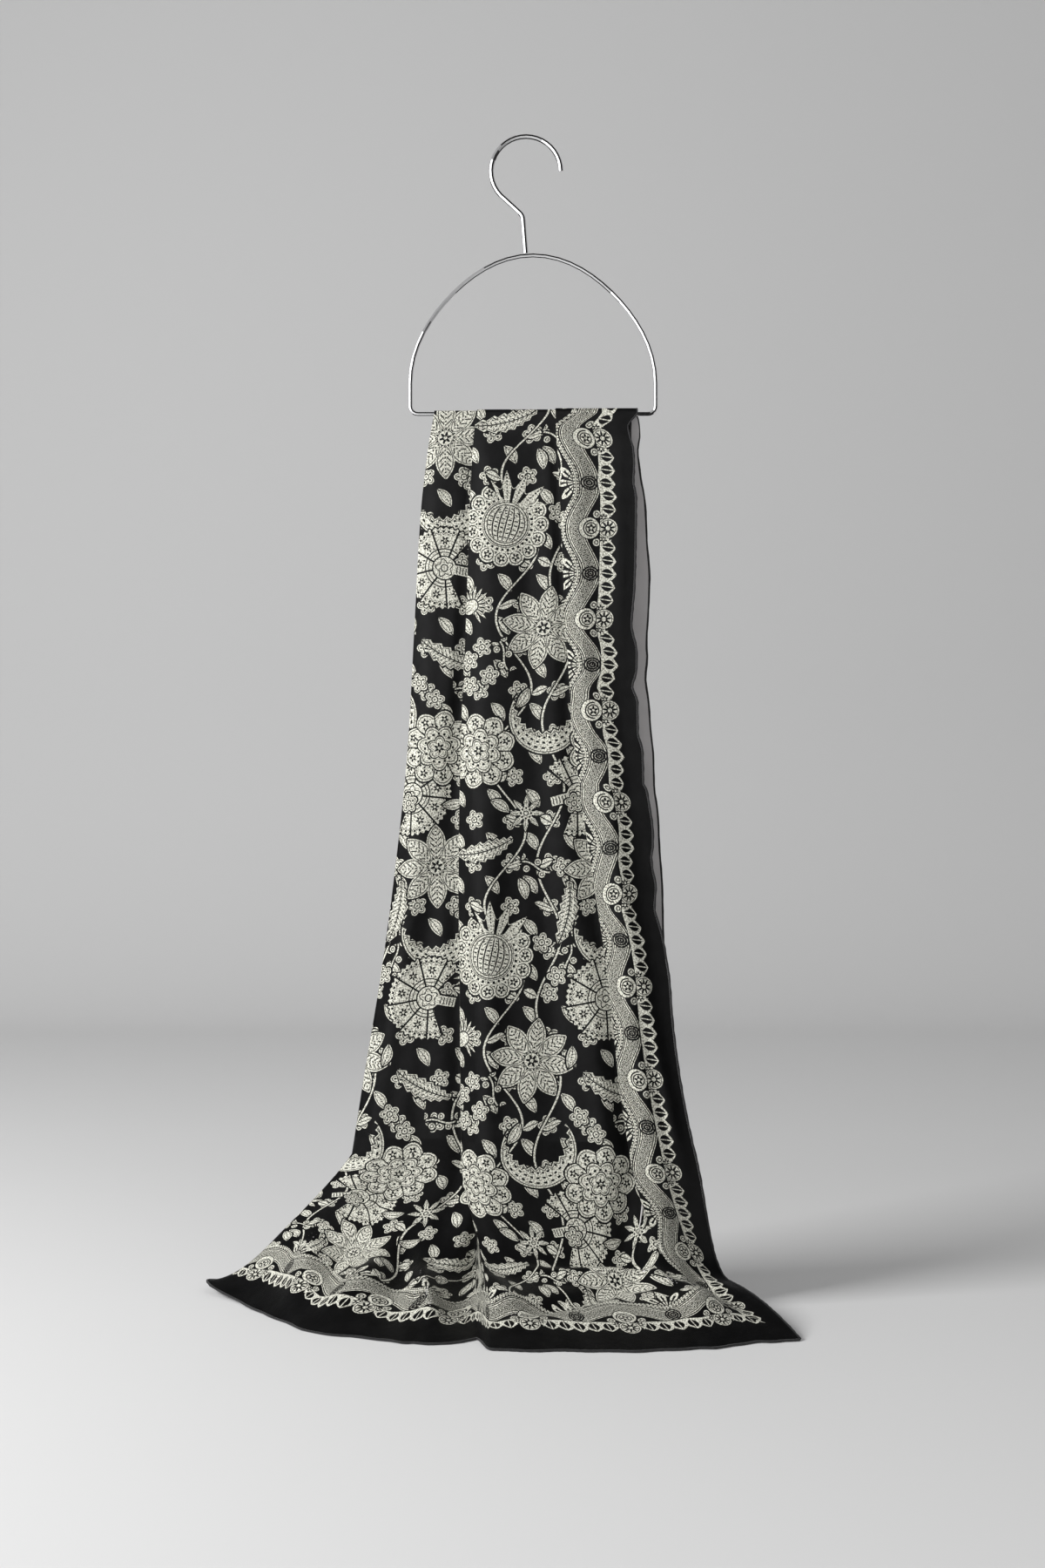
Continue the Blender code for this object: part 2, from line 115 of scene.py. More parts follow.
TrainStation = namedtuple(
    "TrainStation", "place break_x break_y break_rise hem_x hem_y hem_rise steep puff")
TRAIN = [TrainStation(*row) for row in (
    (0.00, 240, -62, 34, 304, -201, 2.2, 0.9, 0.9),
    (0.07, 206, -88, 42, 256, -214, 2.2, 0.9, 0.5),
    (0.14, 170, -102, 48, 204, -235, 2.2, 0.9, 0.3),
    (0.20, 128, -84, 46, 148, -248, 2.2, 0.9, 0.3),
    (0.28, 40, -104, 48, 50, -251, 2.2, 0.9, 0.3),
    (0.36, -46, -112, 52, -40, -240, 2.2, 0.9, 0.3),
    (0.42, -60, -74, 40, -56, -198, 2.2, 0.9, 0.3),
    (0.47, -92, -92, 50, -100, -222, 2.2, 0.9, 0.3),
    (0.56, -148, -84, 56, -156, -204, 2.2, 0.8, 0.3),
    (0.64, -206, -62, 64, -238, -168, 2.2, 0.8, 0.3),
    (0.70, -236, -44, 70, -284, -114, 2.2, 0.8, 0.3),
    (0.76, -270, -20, 74, -334, -38, 3, 0.5, -0.3),
    (0.82, -296, 6, 78, -389, 38, 12, 0.2, -0.8),
    (0.88, -240, 30, 62, -322, 88, 2.2, 0.5, -0.2),
    (1.00, -104, 38, 50, -176, 118, 2.2, 0.8, 0.4),
)]
Crease = namedtuple("Crease", "place way half_across half_down slant height")
TRAIN_CREASES = [Crease(*row) for row in (
    (0.225, 0.48, 0.050, 0.075, 0.9, 17), (0.120, 0.66, 0.040, 0.090, 0.0, 14),
    (0.300, 0.70, 0.030, 0.150, -0.5, -12), (0.340, 0.62, 0.020, 0.220, 0.1, 12),
    (0.450, 0.64, 0.024, 0.260, 0.0, -12), (0.500, 0.66, 0.020, 0.280, 0.1, 13),
    (0.560, 0.58, 0.022, 0.380, 0.0, -12), (0.610, 0.66, 0.020, 0.330, -0.1, 14),
    (0.660, 0.55, 0.022, 0.300, 0.0, -10), (0.715, 0.64, 0.024, 0.320, 0.1, 12),
    (0.060, 0.60, 0.024, 0.200, 0.1, -12), (0.170, 0.46, 0.018, 0.240, -0.1, 10),
    (0.930, 0.60, 0.030, 0.350, 0.0, 7),
)]
FOLD_PLACES = (0.0, 0.14, 0.20, 0.36, 0.42, 0.82, 1.0)
FOLD_SPREAD = 0.06

# Soft ridges (+) and troughs (-) that all the layers of the falls share, so none cuts another:
# where each lies across (x) at its middle, its drop, half its width and length, lean, height.
Ridge = namedtuple("Ridge", "x drop half_width half_length lean height")
FRONT_RIDGES = [Ridge(*row) for row in (
    (-20, 260, 18, 190, -0.02, 2.0), (14, 420, 14, 240, 0.06, -2.4),
    (-92, 330, 12, 200, -0.08, 2.2), (84, 300, 12, 240, 0.02, -2.0),
    (108, 520, 11, 200, 0.08, 2.6), (-40, 640, 18, 200, -0.02, 3.4),
    (30, 720, 20, 190, 0.07, -4.4), (-116, 640, 14, 210, -0.12, -3.4),
    (-140, 800, 14, 170, -0.16, 4.4), (140, 740, 7, 190, 0.20, -3.6),
    (158, 780, 9, 170, 0.22, 4.2), (92, 860, 16, 130, 0.05, 4.2),
    (-10, 880, 20, 110, 0.0, 3.4), (112, 160, 9, 130, 0.0, 1.6),
    (-46, 120, 8, 90, 0.03, 1.3), (8, 140, 9, 100, -0.04, -1.2),
)]
BACK_RIDGES = [Ridge(*row) for row in (
    (-30, 260, 18, 220, -0.02, 1.6), (40, 420, 20, 240, 0.03, -2.0),
    (-96, 460, 16, 260, -0.05, 1.8), (136, 380, 10, 120, 0.12, -2.2),
    (100, 620, 20, 220, 0.04, 2.4), (0, 760, 26, 200, 0.0, 2.6),
    (-70, 800, 22, 180, -0.03, -2.8), (146, 800, 18, 160, 0.04, 2.8),
)]

# How far the panels' crowns stand out, in the falls' upper part and more below it, and the
# share of that behind. Each fold has its own share and its own reach across.
CROWN = 4.8
CROWN_LOW = 5.2
BACK_CROWN = 0.25
CROWN_FOLDS = (("fold_2", 1.0, 22.0), ("fold_1", 0.95, 26.0), ("left", 0.7, 20.0))

# Waves of the train's hem across its places: height, radians over the whole, start.
HEM_WAVES = ((2.2, 61.0, 0.0), (1.4, 143.0, 1.0))

# Where the print lies: the flat cloth's places at fold_1 and at the left fold, by drop.
PrintRow = namedtuple("PrintRow", "drop at_fold_1 at_left")
PRINT_ROWS = [PrintRow(0, 351, 743), PrintRow(200, 351, 760), PrintRow(450, 351, 775),
              PrintRow(713, 350, 793), PrintRow(890, 345, 805)]
PRINT_AT_HEM = (0, 107, 164, 338, 470, 880, 1110)
TRAIN_LENGTH = 320.0
WHOLE_LENGTH = TRAIN_LENGTH + FRONT_DROP + 2 * QUARTER_TURN + BACK_DROP

PANEL_STEPS = (16, 8, 36, 14, 36, 26)
FOLD_STEPS = 8
FALL_ROWS = 150
TRAIN_ROWS = 60
TURN_ROWS = 8
BACK_ROWS = 96
ROW_CROWDING = 1.12

# The stage, in metres.
FLOOR_FRONT = -6.0
FLOOR_HALF = 5.0
WALL_Y = 3.7
WALL_TOP = 5.0                      # above the floor
SWEEP = 0.9                         # radius of the bend from the floor to the wall
SWEEP_STEPS = 12
CARD_HIGH = 1.2
LAMP_TARGET = (0.0, 0.0, -0.8)


# ---------------------------------------------------------------- tables as smooth functions

def monotone_slopes(xs, ys):
    """Slopes at each station that keep a cubic from overshooting its table."""
    rates = [(ys[i + 1] - ys[i]) / (xs[i + 1] - xs[i]) for i in range(len(xs) - 1)]
    slopes = [rates[0]]
    for before, after in zip(rates, rates[1:]):
        level = before * after <= 0.0
        slopes.append(0.0 if level else 2.0 * before * after / (before + after))
    slopes.append(rates[-1])
    return slopes


def cubic_table(xs, ys):
    """A smooth function through a table's column."""
    slopes = monotone_slopes(xs, ys)

    def read(x):
        x = min(max(x, xs[0]), xs[-1])
        i = max(k for k in range(len(xs) - 1) if xs[k] <= x)
        step = xs[i + 1] - xs[i]
        u = (x - xs[i]) / step
        rise = u * u * (3.0 - 2.0 * u)
        bends = u * (1.0 - u) ** 2 * slopes[i] + u * u * (u - 1.0) * slopes[i + 1]
        return ys[i] + (ys[i + 1] - ys[i]) * rise + step * bends

    return read


def table_reader(table, key):
    """Reads a whole row of a table at any value of its key column."""
    xs = [getattr(row, key) for row in table]
    readers = {name: cubic_table(xs, [getattr(row, name) for row in table])
               for name in table[0]._fields if name != key}
    row_type = namedtuple("Read", readers)
    return lambda x: row_type(**{name: read(x) for name, read in readers.items()})


read_front = table_reader(FRONT_FALL, "drop")
read_back = table_reader(BACK_FALL, "drop")
read_front_edge = table_reader(FRONT_EDGE, "drop")
read_back_edge = table_reader(BACK_EDGE, "drop")
read_train = table_reader(TRAIN, "place")
read_print = table_reader(PRINT_ROWS, "drop")


# ---------------------------------------------------------------- the pleated section

def key_columns():
    """The columns at the right selvedge, the middle of each fold, and the left selvedge."""
    keys = [0]
    column = 0
    for steps in PANEL_STEPS[:-1]:
        column += steps
        keys.append(column + FOLD_STEPS // 2)
        column += FOLD_STEPS
    keys.append(column + PANEL_STEPS[-1])
    return keys


KEY_COLUMNS = key_columns()


def section_places(row, right):
    """Places across one row: x, the layer counted from the front, and how far a fold bulges."""
    under_2 = row.fold_2 + row.tuck_2
    under_1 = row.fold_1 + row.tuck_1
    stops = (right, row.fold_2, under_2, row.fold_1, under_1, row.left, row.left + row.turned)
    places = [(right, 0.0, 0.0)]
    for layer, steps in enumerate(PANEL_STEPS):
        start, end = stops[layer], stops[layer + 1]
        places += [(start + (end - start) * k / steps, layer, 0.0) for k in range(1, steps)]
        if layer == len(PANEL_STEPS) - 1:
            places.append((end, layer, 0.0))
            break
        side = -1.0 if layer % 2 == 0 else 1.0
        for k in range(FOLD_STEPS + 1):
            turn = math.pi * k / FOLD_STEPS
            places.append((end, layer + 0.5 - 0.5 * math.cos(turn), side * math.sin(turn)))
    return np.array(places)


def smooth_step(u):
    """An even rise from 0 to 1."""
    u = np.clip(u, 0.0, 1.0)
    return u * u * (3.0 - 2.0 * u)


def ridge_swell(ridges, x, drop):
    """How far the shared ridges and troughs move every layer out, at places x of one row."""
    swell = np.zeros_like(x)
    for ridge in ridges:
        along = (drop - ridge.drop) / ridge.half_length
        across = (x - ridge.x - ridge.lean * (drop - ridge.drop)) / ridge.half_width
        swell += ridge.height * np.exp(-across * across - along * along)
    return swell


def crown_swell(row, x, drop):
    """Each panel rolls forward beside its fold and sinks towards the next panel's fold."""
    size = (CROWN * smooth_step((drop - 3.0) / 60.0)
            + CROWN_LOW * smooth_step((drop - 90.0) / 560.0))
    trough = 6.5 + 8.5 * smooth_step(drop / 600.0)
    swell = np.zeros_like(x)
    for name, share, reach in CROWN_FOLDS:
        fold = getattr(row, name)
        beside = (x - fold - 0.85 * reach) / reach
        under = (x - fold + 2.0) / trough
        swell += size * share * (np.exp(-beside * beside) - np.exp(-under * under))
    return swell


def section(row, right, ridges, drop, crown=1.0):
    """The cloth's middle line at one height: x, and depth from the bar's axis."""
    places = section_places(row, right)
    x = places[:, 0] + places[:, 2] * row.pitch / 2
    middle = (right + row.left) / 2
    half_width = (right - row.left) / 2
    swell = row.bow * np.cos(0.5 * math.pi * (x - middle) / half_width)
    swell += ridge_swell(ridges, x, drop) + crown * crown_swell(row, x, drop)
    return x, row.inner + (5.0 - places[:, 1]) * row.pitch + swell


def front_row(drop):
    """One row of the front fall."""
    x, depth = section(read_front(drop), read_front_edge(drop).right, FRONT_RIDGES, drop)
    return np.stack((x, -depth, np.full_like(x, BAR_Z - drop)), axis=1)


def back_row(drop):
    """One row of the back fall."""
    x, depth = section(read_back(drop), read_back_edge(drop).right, BACK_RIDGES, drop,
                       BACK_CROWN)
    return np.stack((x, depth, np.full_like(x, BAR_Z - drop)), axis=1)


def bar_row(angle):
    """One row of the turn over the bar, 0 at its front and pi at its back."""
    x, depth = section(read_front(0.0), read_front_edge(0.0).right, (), 0.0)
    return np.stack((x, -depth * math.cos(angle), BAR_Z + depth * math.sin(angle)), axis=1)


# ---------------------------------------------------------------- the train

def hermite(start, start_slope, end, end_slope, u):
    """A point on the cubic between two points with given slopes."""
    return (start * (2 * u ** 3 - 3 * u ** 2 + 1) + start_slope * (u ** 3 - 2 * u ** 2 + u)
            + end * (3 * u ** 2 - 2 * u ** 3) + end_slope * (u ** 3 - u ** 2))


def unit(vector):
    """A vector of length one."""
    return vector / np.linalg.norm(vector)


def train_places():
    """Where each column lies across the train: folds open out, so their columns spread."""
    widths = [end - start for start, end in zip(FOLD_PLACES, FOLD_PLACES[1:])]
    starts = [FOLD_PLACES[0]]
    starts += [place + FOLD_SPREAD * width for place, width in zip(FOLD_PLACES[1:], widths[1:])]
    ends = [place - FOLD_SPREAD * width for place, width in zip(FOLD_PLACES[1:], widths)]
    ends[-1] = FOLD_PLACES[-1]
    places = [FOLD_PLACES[0]]
    for index, count in enumerate(PANEL_STEPS):
        start, end = starts[index], ends[index]
        places += [start + (end - start) * k / count for k in range(1, count)]
        if index + 1 < len(PANEL_STEPS):
            opened = starts[index + 1] - end
            places += [end + opened * k / FOLD_STEPS for k in range(FOLD_STEPS + 1)]
    places.append(FOLD_PLACES[-1])
    return places


def train_column(top, above, station, count):
    """One column of the train, from its top to the cloth's end."""
    break_point = np.array((station.break_x, station.break_y, FLOOR_Z + station.break_rise))
    hem = np.array((station.hem_x, station.hem_y, FLOOR_Z + station.hem_rise))
    fall = np.linalg.norm(break_point - top)
    spread = np.linalg.norm(hem - break_point)
    down = unit(top - above) * station.steep + unit(break_point - top) * (1.0 - station.steep)
    outward = unit(np.array((hem[0] - break_point[0], hem[1] - break_point[1], 0.0)))
    slope = np.array((0.0, 0.0, (break_point[2] - hem[2]) / spread))
    through = unit(outward - slope * (1.0 - station.puff))
    level = unit(outward - slope * (1.0 + station.puff))
    points = []
    for k in range(count + 1):
        u = k / count
        if u <= BREAK_SHARE:
            points.append(hermite(top, down * fall, break_point, through * fall,
                                  u / BREAK_SHARE))
        else:
            points.append(hermite(break_point, through * spread, hem, level * spread,
                                  (u - BREAK_SHARE) / (1.0 - BREAK_SHARE)))
    return points


def crease_height(place, way):
    """How far the creases lift the train at one place, none at its top and its end."""
    height = 0.0
    for crease in TRAIN_CREASES:
        down = (way - crease.way) / crease.half_down
        middle = crease.place - crease.slant * (way - crease.way)
        across = (place - middle) / crease.half_across
        height += crease.height * math.exp(-across * across - down * down)
    return height * math.sin(math.pi * way) ** 0.5


def train_rows(top_row, row_above):
    """The rows of the train below its top one, out to the cloth's end."""
    columns = []
    for top, above, place in zip(top_row, row_above, train_places()):
        station = read_train(place)
        wave = sum(height * math.sin(place * turns + start)
                   for height, turns, start in HEM_WAVES)
        station = station._replace(hem_y=station.hem_y - wave)
        column = train_column(top, above, station, TRAIN_ROWS)
        columns.append([point + UP_AND_OUT * crease_height(place, k / TRAIN_ROWS)
                        for k, point in enumerate(column)])
    return [np.array(row) for row in zip(*columns)][1:]


# ---------------------------------------------------------------- places in the flat cloth

def arc_along(line):
    """The length along a line of points, at each of them."""
    steps = np.linalg.norm(np.diff(line, axis=0), axis=1)
    return np.concatenate(((0.0,), np.cumsum(steps)))


def fall_keys(row, drop):
    """Places in the flat cloth of the selvedges and folds, true to scale on what shows."""
    at = read_print(drop)
    panel = np.diff(arc_along(row)[KEY_COLUMNS])
    return np.array((0.0, panel[0], at.at_fold_1 - panel[2], at.at_fold_1,
                     at.at_left - panel[4], at.at_left, at.at_left + panel[5]))


def front_grid():
    """The front cloth as rows of points, and each point's place in the flat cloth."""
    turn = [bar_row(math.pi / 2 * (1.0 - k / TURN_ROWS)) for k in range(TURN_ROWS)]
    drops = [FRONT_DROP * (k / FALL_ROWS) ** ROW_CROWDING for k in range(FALL_ROWS + 1)]
    fall = [front_row(drop) for drop in drops]
    train = train_rows(fall[-1], fall[-2])
    rows, prints = [], []
    for k, row in enumerate(turn):
        down = TRAIN_LENGTH + FRONT_DROP + QUARTER_TURN * (1.0 - k / TURN_ROWS)
        add_print(rows, prints, row, fall_keys(row, 0.0), down)
    for row, drop in zip(fall, drops):
        add_print(rows, prints, row, fall_keys(row, drop), TRAIN_LENGTH + FRONT_DROP - drop)
    steps = [np.linalg.norm(b - a, axis=1) for a, b in zip([fall[-1]] + train, train)]
    to_end = np.cumsum(np.array(steps[::-1]), axis=0)[::-1]
    length = to_end[0]
    top_keys = fall_keys(fall[-1], FRONT_DROP)
    for k, row in enumerate(train):
        rest = to_end[k + 1] if k + 1 < len(train) else np.zeros_like(length)
        share = 1.0 - smooth_step(rest / length)
        keys = top_keys + (np.array(PRINT_AT_HEM) - top_keys) * smooth_step((k + 1) / TRAIN_ROWS)
        down = rest * (1.0 + (TRAIN_LENGTH / length - 1.0) * (1.0 - share))
        add_print(rows, prints, row, keys, down)
    return np.array(rows), np.array(prints)


def back_grid():
    """The back cloth as rows of points, from the top of the bar down, and their flat places."""
    turn = [bar_row(math.pi / 2 * (1.0 + k / TURN_ROWS)) for k in range(TURN_ROWS)]
    drops = [BACK_DROP * (k / BACK_ROWS) ** ROW_CROWDING for k in range(BACK_ROWS + 1)]
    rows, prints = [], []
    top = TRAIN_LENGTH + FRONT_DROP + QUARTER_TURN
    for k, row in enumerate(turn):
        add_print(rows, prints, row, fall_keys(row, 0.0), top + QUARTER_TURN * k / TURN_ROWS)
    for drop in drops:
        row = back_row(drop)
        add_print(rows, prints, row, fall_keys(row, 0.0), top + QUARTER_TURN + drop)
    return np.array(rows), np.array(prints)


def add_print(rows, prints, row, keys, down):
    """Adds a row and its places: across, along, and the distance from the left selvedge."""
    arc = arc_along(row)
    across = np.interp(arc, arc[KEY_COLUMNS], keys)
    rows.append(row)
    prints.append(np.stack((across, np.broadcast_to(down, across.shape), keys[-1] - across),
                           axis=1))


# ---------------------------------------------------------------- meshes

def grid_normals(grid):
    """The cloth's outward normals: of its printed face."""
    across = np.gradient(grid, axis=1)
    down = np.gradient(grid, axis=0)
    normals = np.cross(across, down)
    return normals / np.linalg.norm(normals, axis=2, keepdims=True)


def collection_for(name):
    """A new collection in the scene."""
    collection = bpy.data.collections.new(name)
    bpy.context.scene.collection.children.link(collection)
    return collection


def shell_uv(grid, rim_count, outward):
    """Places of all corners in one picture: face at the left, rim, then the reverse."""
    across = np.linalg.norm(np.diff(grid, axis=1), axis=2).mean(axis=0).cumsum()
    down = np.linalg.norm(np.diff(grid, axis=0), axis=2).mean(axis=1).cumsum()
    u, v = np.meshgrid(np.append(0.0, across) / across[-1], np.append(0.0, down) / down[-1])
    corners = []
    for start, width in ((0.005, 0.785), (0.81, 0.185)):
        flat = np.stack((start + width * u, 0.995 - 0.99 * v), axis=-1)
        corners.append(np.stack((flat[:-1, :-1], flat[:-1, 1:], flat[1:, 1:], flat[1:, :-1]),
                                axis=2).reshape(-1, 4, 2))
    corners[1] = corners[1][:, ::-1]
    step = 0.005 + 0.99 * np.arange(rim_count + 1) / rim_count
    near, far = np.full(rim_count, 0.797), np.full(rim_count, 0.803)
    corners.append(np.stack((np.stack((near, step[1:]), -1), np.stack((near, step[:-1]), -1),
                             np.stack((far, step[:-1]), -1), np.stack((far, step[1:]), -1)), 1))
    corners = np.concatenate(corners)
    return corners[:, ::-1] if outward < 0 else corners


def shell(name, grid, prints, wall, materials, outward=1.0):
    """A closed cloth shell from a grid of points: printed face, reverse and a narrow rim."""
    rows, columns = grid.shape[:2]
    offset = grid_normals(grid) * wall / 2 * outward
    points = np.concatenate(((grid + offset).reshape(-1, 3), (grid - offset).reshape(-1, 3)))
    count = rows * columns
    index = np.arange(count).reshape(rows, columns)
    quads = np.stack((index[:-1, :-1], index[:-1, 1:], index[1:, 1:], index[1:, :-1]),
                     axis=-1).reshape(-1, 4)
    loop = np.concatenate((index[0, :-1], index[:-1, -1], index[-1, :0:-1], index[:0:-1, 0]))
    after = np.roll(loop, -1)
    rim = np.stack((after, loop, loop + count, after + count), axis=-1)
    faces = np.concatenate((quads, quads[:, ::-1] + count, rim))
    if outward < 0:
        faces = faces[:, ::-1]
    mesh = bpy.data.meshes.new(name)
    mesh.from_pydata(points * MM, (), faces.tolist())
    for material in materials:
        mesh.materials.append(material)
    slots = np.repeat((0, 1, 1), (len(quads), len(quads), len(rim)))
    mesh.polygons.foreach_set("material_index", slots.astype(np.int32))
    mesh.shade_smooth()
    mesh.set_sharp_from_angle(angle=math.radians(70))
    place = mesh.attributes.new("print", "FLOAT_VECTOR", "POINT")
    flat = np.concatenate((prints.reshape(-1, 3), prints.reshape(-1, 3))) * MM
    place.data.foreach_set("vector", flat.astype(np.float32).ravel())
    layer = mesh.uv_layers.new(name="OFBake")
    layer.uv.foreach_set("vector", shell_uv(grid, len(rim), outward).astype(np.float32).ravel())
    mesh.update()
    return bpy.data.objects.new(name, mesh)


def sweep(name, line, radii, material, sides=8):
    """A round roll along a line of points (millimetres), with its own radius at each point."""
    line = np.asarray(line, dtype=float)
    tangents = np.gradient(line, axis=0)
    tangents /= np.linalg.norm(tangents, axis=1, keepdims=True)
    side = np.cross(tangents[0], (0.0, 0.31, 0.95))
    rings = []
    for tangent, point, radius in zip(tangents, line, radii):
        side = side - tangent * side.dot(tangent)
        side /= np.linalg.norm(side)
        up = np.cross(tangent, side)
        turns = (np.arange(sides) * 2 * math.pi / sides)[:, None]
        rings.append(point + radius * (np.cos(turns) * side + np.sin(turns) * up))
    points = np.concatenate(rings)
    faces = []
    for k in range(len(line) - 1):
        for j in range(sides):
            a, b = k * sides + j, k * sides + (j + 1) % sides
            faces.append((a, b, b + sides, a + sides))
    faces.append(tuple(range(sides))[::-1])
    faces.append(tuple(range(len(points) - sides, len(points))))
    mesh = bpy.data.meshes.new(name)
    mesh.from_pydata(points * MM, (), faces)
    mesh.materials.append(material)
    mesh.shade_smooth()
    mesh.update()
    return bpy.data.objects.new(name, mesh)


# ---------------------------------------------------------------- shader maths

class Sock:
    """A shader socket whose arithmetic is written as Python expressions."""

    def __init__(self, socket):
        self.socket = socket

    def other(self, kind, settings=None, inputs=None, output=0):
        """Adds any node beside this socket and returns one of its outputs."""
        return add_node(self.socket.id_data, kind, settings, inputs, output)

    def maths(self, operation, *values):
        """A Math node with this socket first."""
        inputs = dict(enumerate((self,) + values))
        return self.other("ShaderNodeMath", {"operation": operation}, inputs)

    __add__ = __radd__ = partialmethod(maths, "ADD")
    __sub__ = partialmethod(maths, "SUBTRACT")
    __rsub__ = partialmethod(maths, "MULTIPLY_ADD", -1.0)
    __mul__ = __rmul__ = partialmethod(maths, "MULTIPLY")
    __truediv__ = partialmethod(maths, "DIVIDE")
    __abs__ = partialmethod(maths, "ABSOLUTE")
    __gt__ = partialmethod(maths, "GREATER_THAN")
    __lt__ = partialmethod(maths, "LESS_THAN")
    __or__ = partialmethod(maths, "MAXIMUM")
    __and__ = partialmethod(maths, "MINIMUM")
    cos = partialmethod(maths, "COSINE")
    sin = partialmethod(maths, "SINE")

    def times_plus(self, factor, addend):
        """This socket times a factor, plus an addend, in one node."""
        return self.maths("MULTIPLY_ADD", factor, addend)

    def near(self, value, half):
        """1 within half of a value, and 0 elsewhere."""
        return self.maths("COMPARE", value, half)

    def wrapped(self, half):
        """This socket wrapped into -half to half."""
        return self.maths("WRAP", half, -half)

    def zigzag(self, step):
        """Up and down between 0 and a step."""
        return self.maths("PINGPONG", step)

    def without(self, lines):
        """This mask where there are no lines; the lines must not be negative."""
        return self > lines

    def axes(self):
        """The x, y and z of a vector."""
        split = self.other("ShaderNodeSeparateXYZ", None, {0: self})
        return [Sock(output) for output in split.socket.node.outputs]


def add_node(tree, kind, settings=None, inputs=None, output=0):
    """Adds a node to a tree, its settings first, then its sockets' values and links."""
    node = tree.nodes.new(kind)
    for name, value in (settings or {}).items():
        setattr(node, name, value)
    for key, value in (inputs or {}).items():
        if isinstance(value, Sock):
            tree.links.new(value.socket, node.inputs[key])
        else:
            node.inputs[key].default_value = value
    return None if output is None else Sock(node.outputs[output])


def new_material(name, **constants):
    """A Principled material with values set on its sockets."""
    material = bpy.data.materials.new(name)
    material.use_nodes = True
    shader = material.node_tree.nodes["Principled BSDF"]
    for socket, value in constants.items():
        shader.inputs[socket.replace("_", " ")].default_value = value
    return material, material.node_tree, shader


def link(tree, value, shader, socket):
    """Links a value into one of the shader's sockets."""
    tree.links.new(value.socket, shader.inputs[socket])


def noise_at(place, scale, detail, **settings):
    """Noise at a place in space, or in the flat cloth."""
    return place.other("ShaderNodeTexNoise", settings,
                       {"Vector": place, "Scale": scale, "Detail": detail})


def flat_noise(place, scale, detail):
    """Noise in the flat cloth."""
    return noise_at(place, scale, detail, noise_dimensions="2D")


def mixed(factor, low, high):
    """A colour from low to high; each is a socket or its red, green and blue."""
    low, high = (colour if isinstance(colour, Sock) else (*colour, 1.0)
                 for colour in (low, high))
    return factor.other("ShaderNodeMix", {"data_type": "RGBA"}, {0: factor, 6: low, 7: high}, 2)


def bumped(height, strength, depth):
    """A normal from a height, and its depth in metres."""
    return height.other("ShaderNodeBump", None,
                        {"Strength": strength, "Distance": depth, "Height": height})


def flat_place(tree):
    """The place in the flat cloth: as a vector, and its three parts in millimetres."""
    place = add_node(tree, "ShaderNodeAttribute", {"attribute_name": "print"}, output=1)
    return place, [axis * 1000.0 for axis in place.axes()]


# ---------------------------------------------------------------- printed motifs
# Each takes a place in its own frame, in millimetres, and gives how far inside its outline that
# is, and its ivory ink. The kinds and places of the large ones follow the photograph, and their
# inner drawing does not.

def distance(x, y):
    """The length of a flat vector."""
    return x.times_plus(x, y * y).maths("SQRT")


def rounded(x, y):
    """The distance and turn of a place about its middle."""
    return distance(x, y), y.maths("ARCTAN2", x)


def rosette(x, y, size, rays):
    """A dark star of rays with an ivory core, from a place about its middle."""
    r = distance(x, y)
    star = (y.maths("ARCTAN2", x) * rays).cos().times_plus(size * 0.3, size * 0.78) - r
    return (star > 0) & (r > size * 0.3)


def daisy(x, y):
    """Five round petals with a groove inside their edge, a dot on each and a ringed core."""
    r, turn = rounded(x, y)
    lobe = abs((turn * 2.5).cos())
    inside = lobe.times_plus(4.6, 7.6) - r
    lines = inside.near(2.0, 0.5) | r.near(3.6, 0.6) | (r < 1.0)
    dots = (lobe > 0.93) & r.near(6.6, 1.4)
    return inside, (inside > 0).without(lines | dots)


def star_flower(x, y):
    """Eight pointed petals round a ring of stamens."""
    r, turn = rounded(x, y)
    lobe = 1 - abs((turn * 4).sin())
    inside = lobe.times_plus(11.0, 11.0) - r
    parting = ((lobe < 0.16) & (r > 7.5)) | inside.near(2.4, 0.6)
    stamens = r.near(6.2, 1.2) & ((turn * 8).cos() > 0.1)
    lines = parting | stamens | r.near(2.6, 0.6)
    dash = (lobe > 0.9) & r.near(12.5, 3.2)
    return inside, (inside > 0).without(lines | dash)


def thistle(x, y):
    """A spiky head on a striped cup."""
    r, turn = rounded(x, y)
    spike = 1 - abs((turn * 9).sin())
    inside = (spike.times_plus(10.0, 14.0) - r) & (y + 3.0)
    lines = ((spike < 0.2) & (r > 9.0)) | r.near(8.0, 0.8)
    dots = (spike > 0.75) & r.near(14.5, 2.2)
    cup = (8.0 - distance(x, y + 5.0)) & (0.5 - y)
    stripes = x.zigzag(1.8) < 0.5
    ink = (inside > 0).without(lines | dots) | (cup > 0).without(stripes & (cup > 1.4))
    return inside | cup, ink


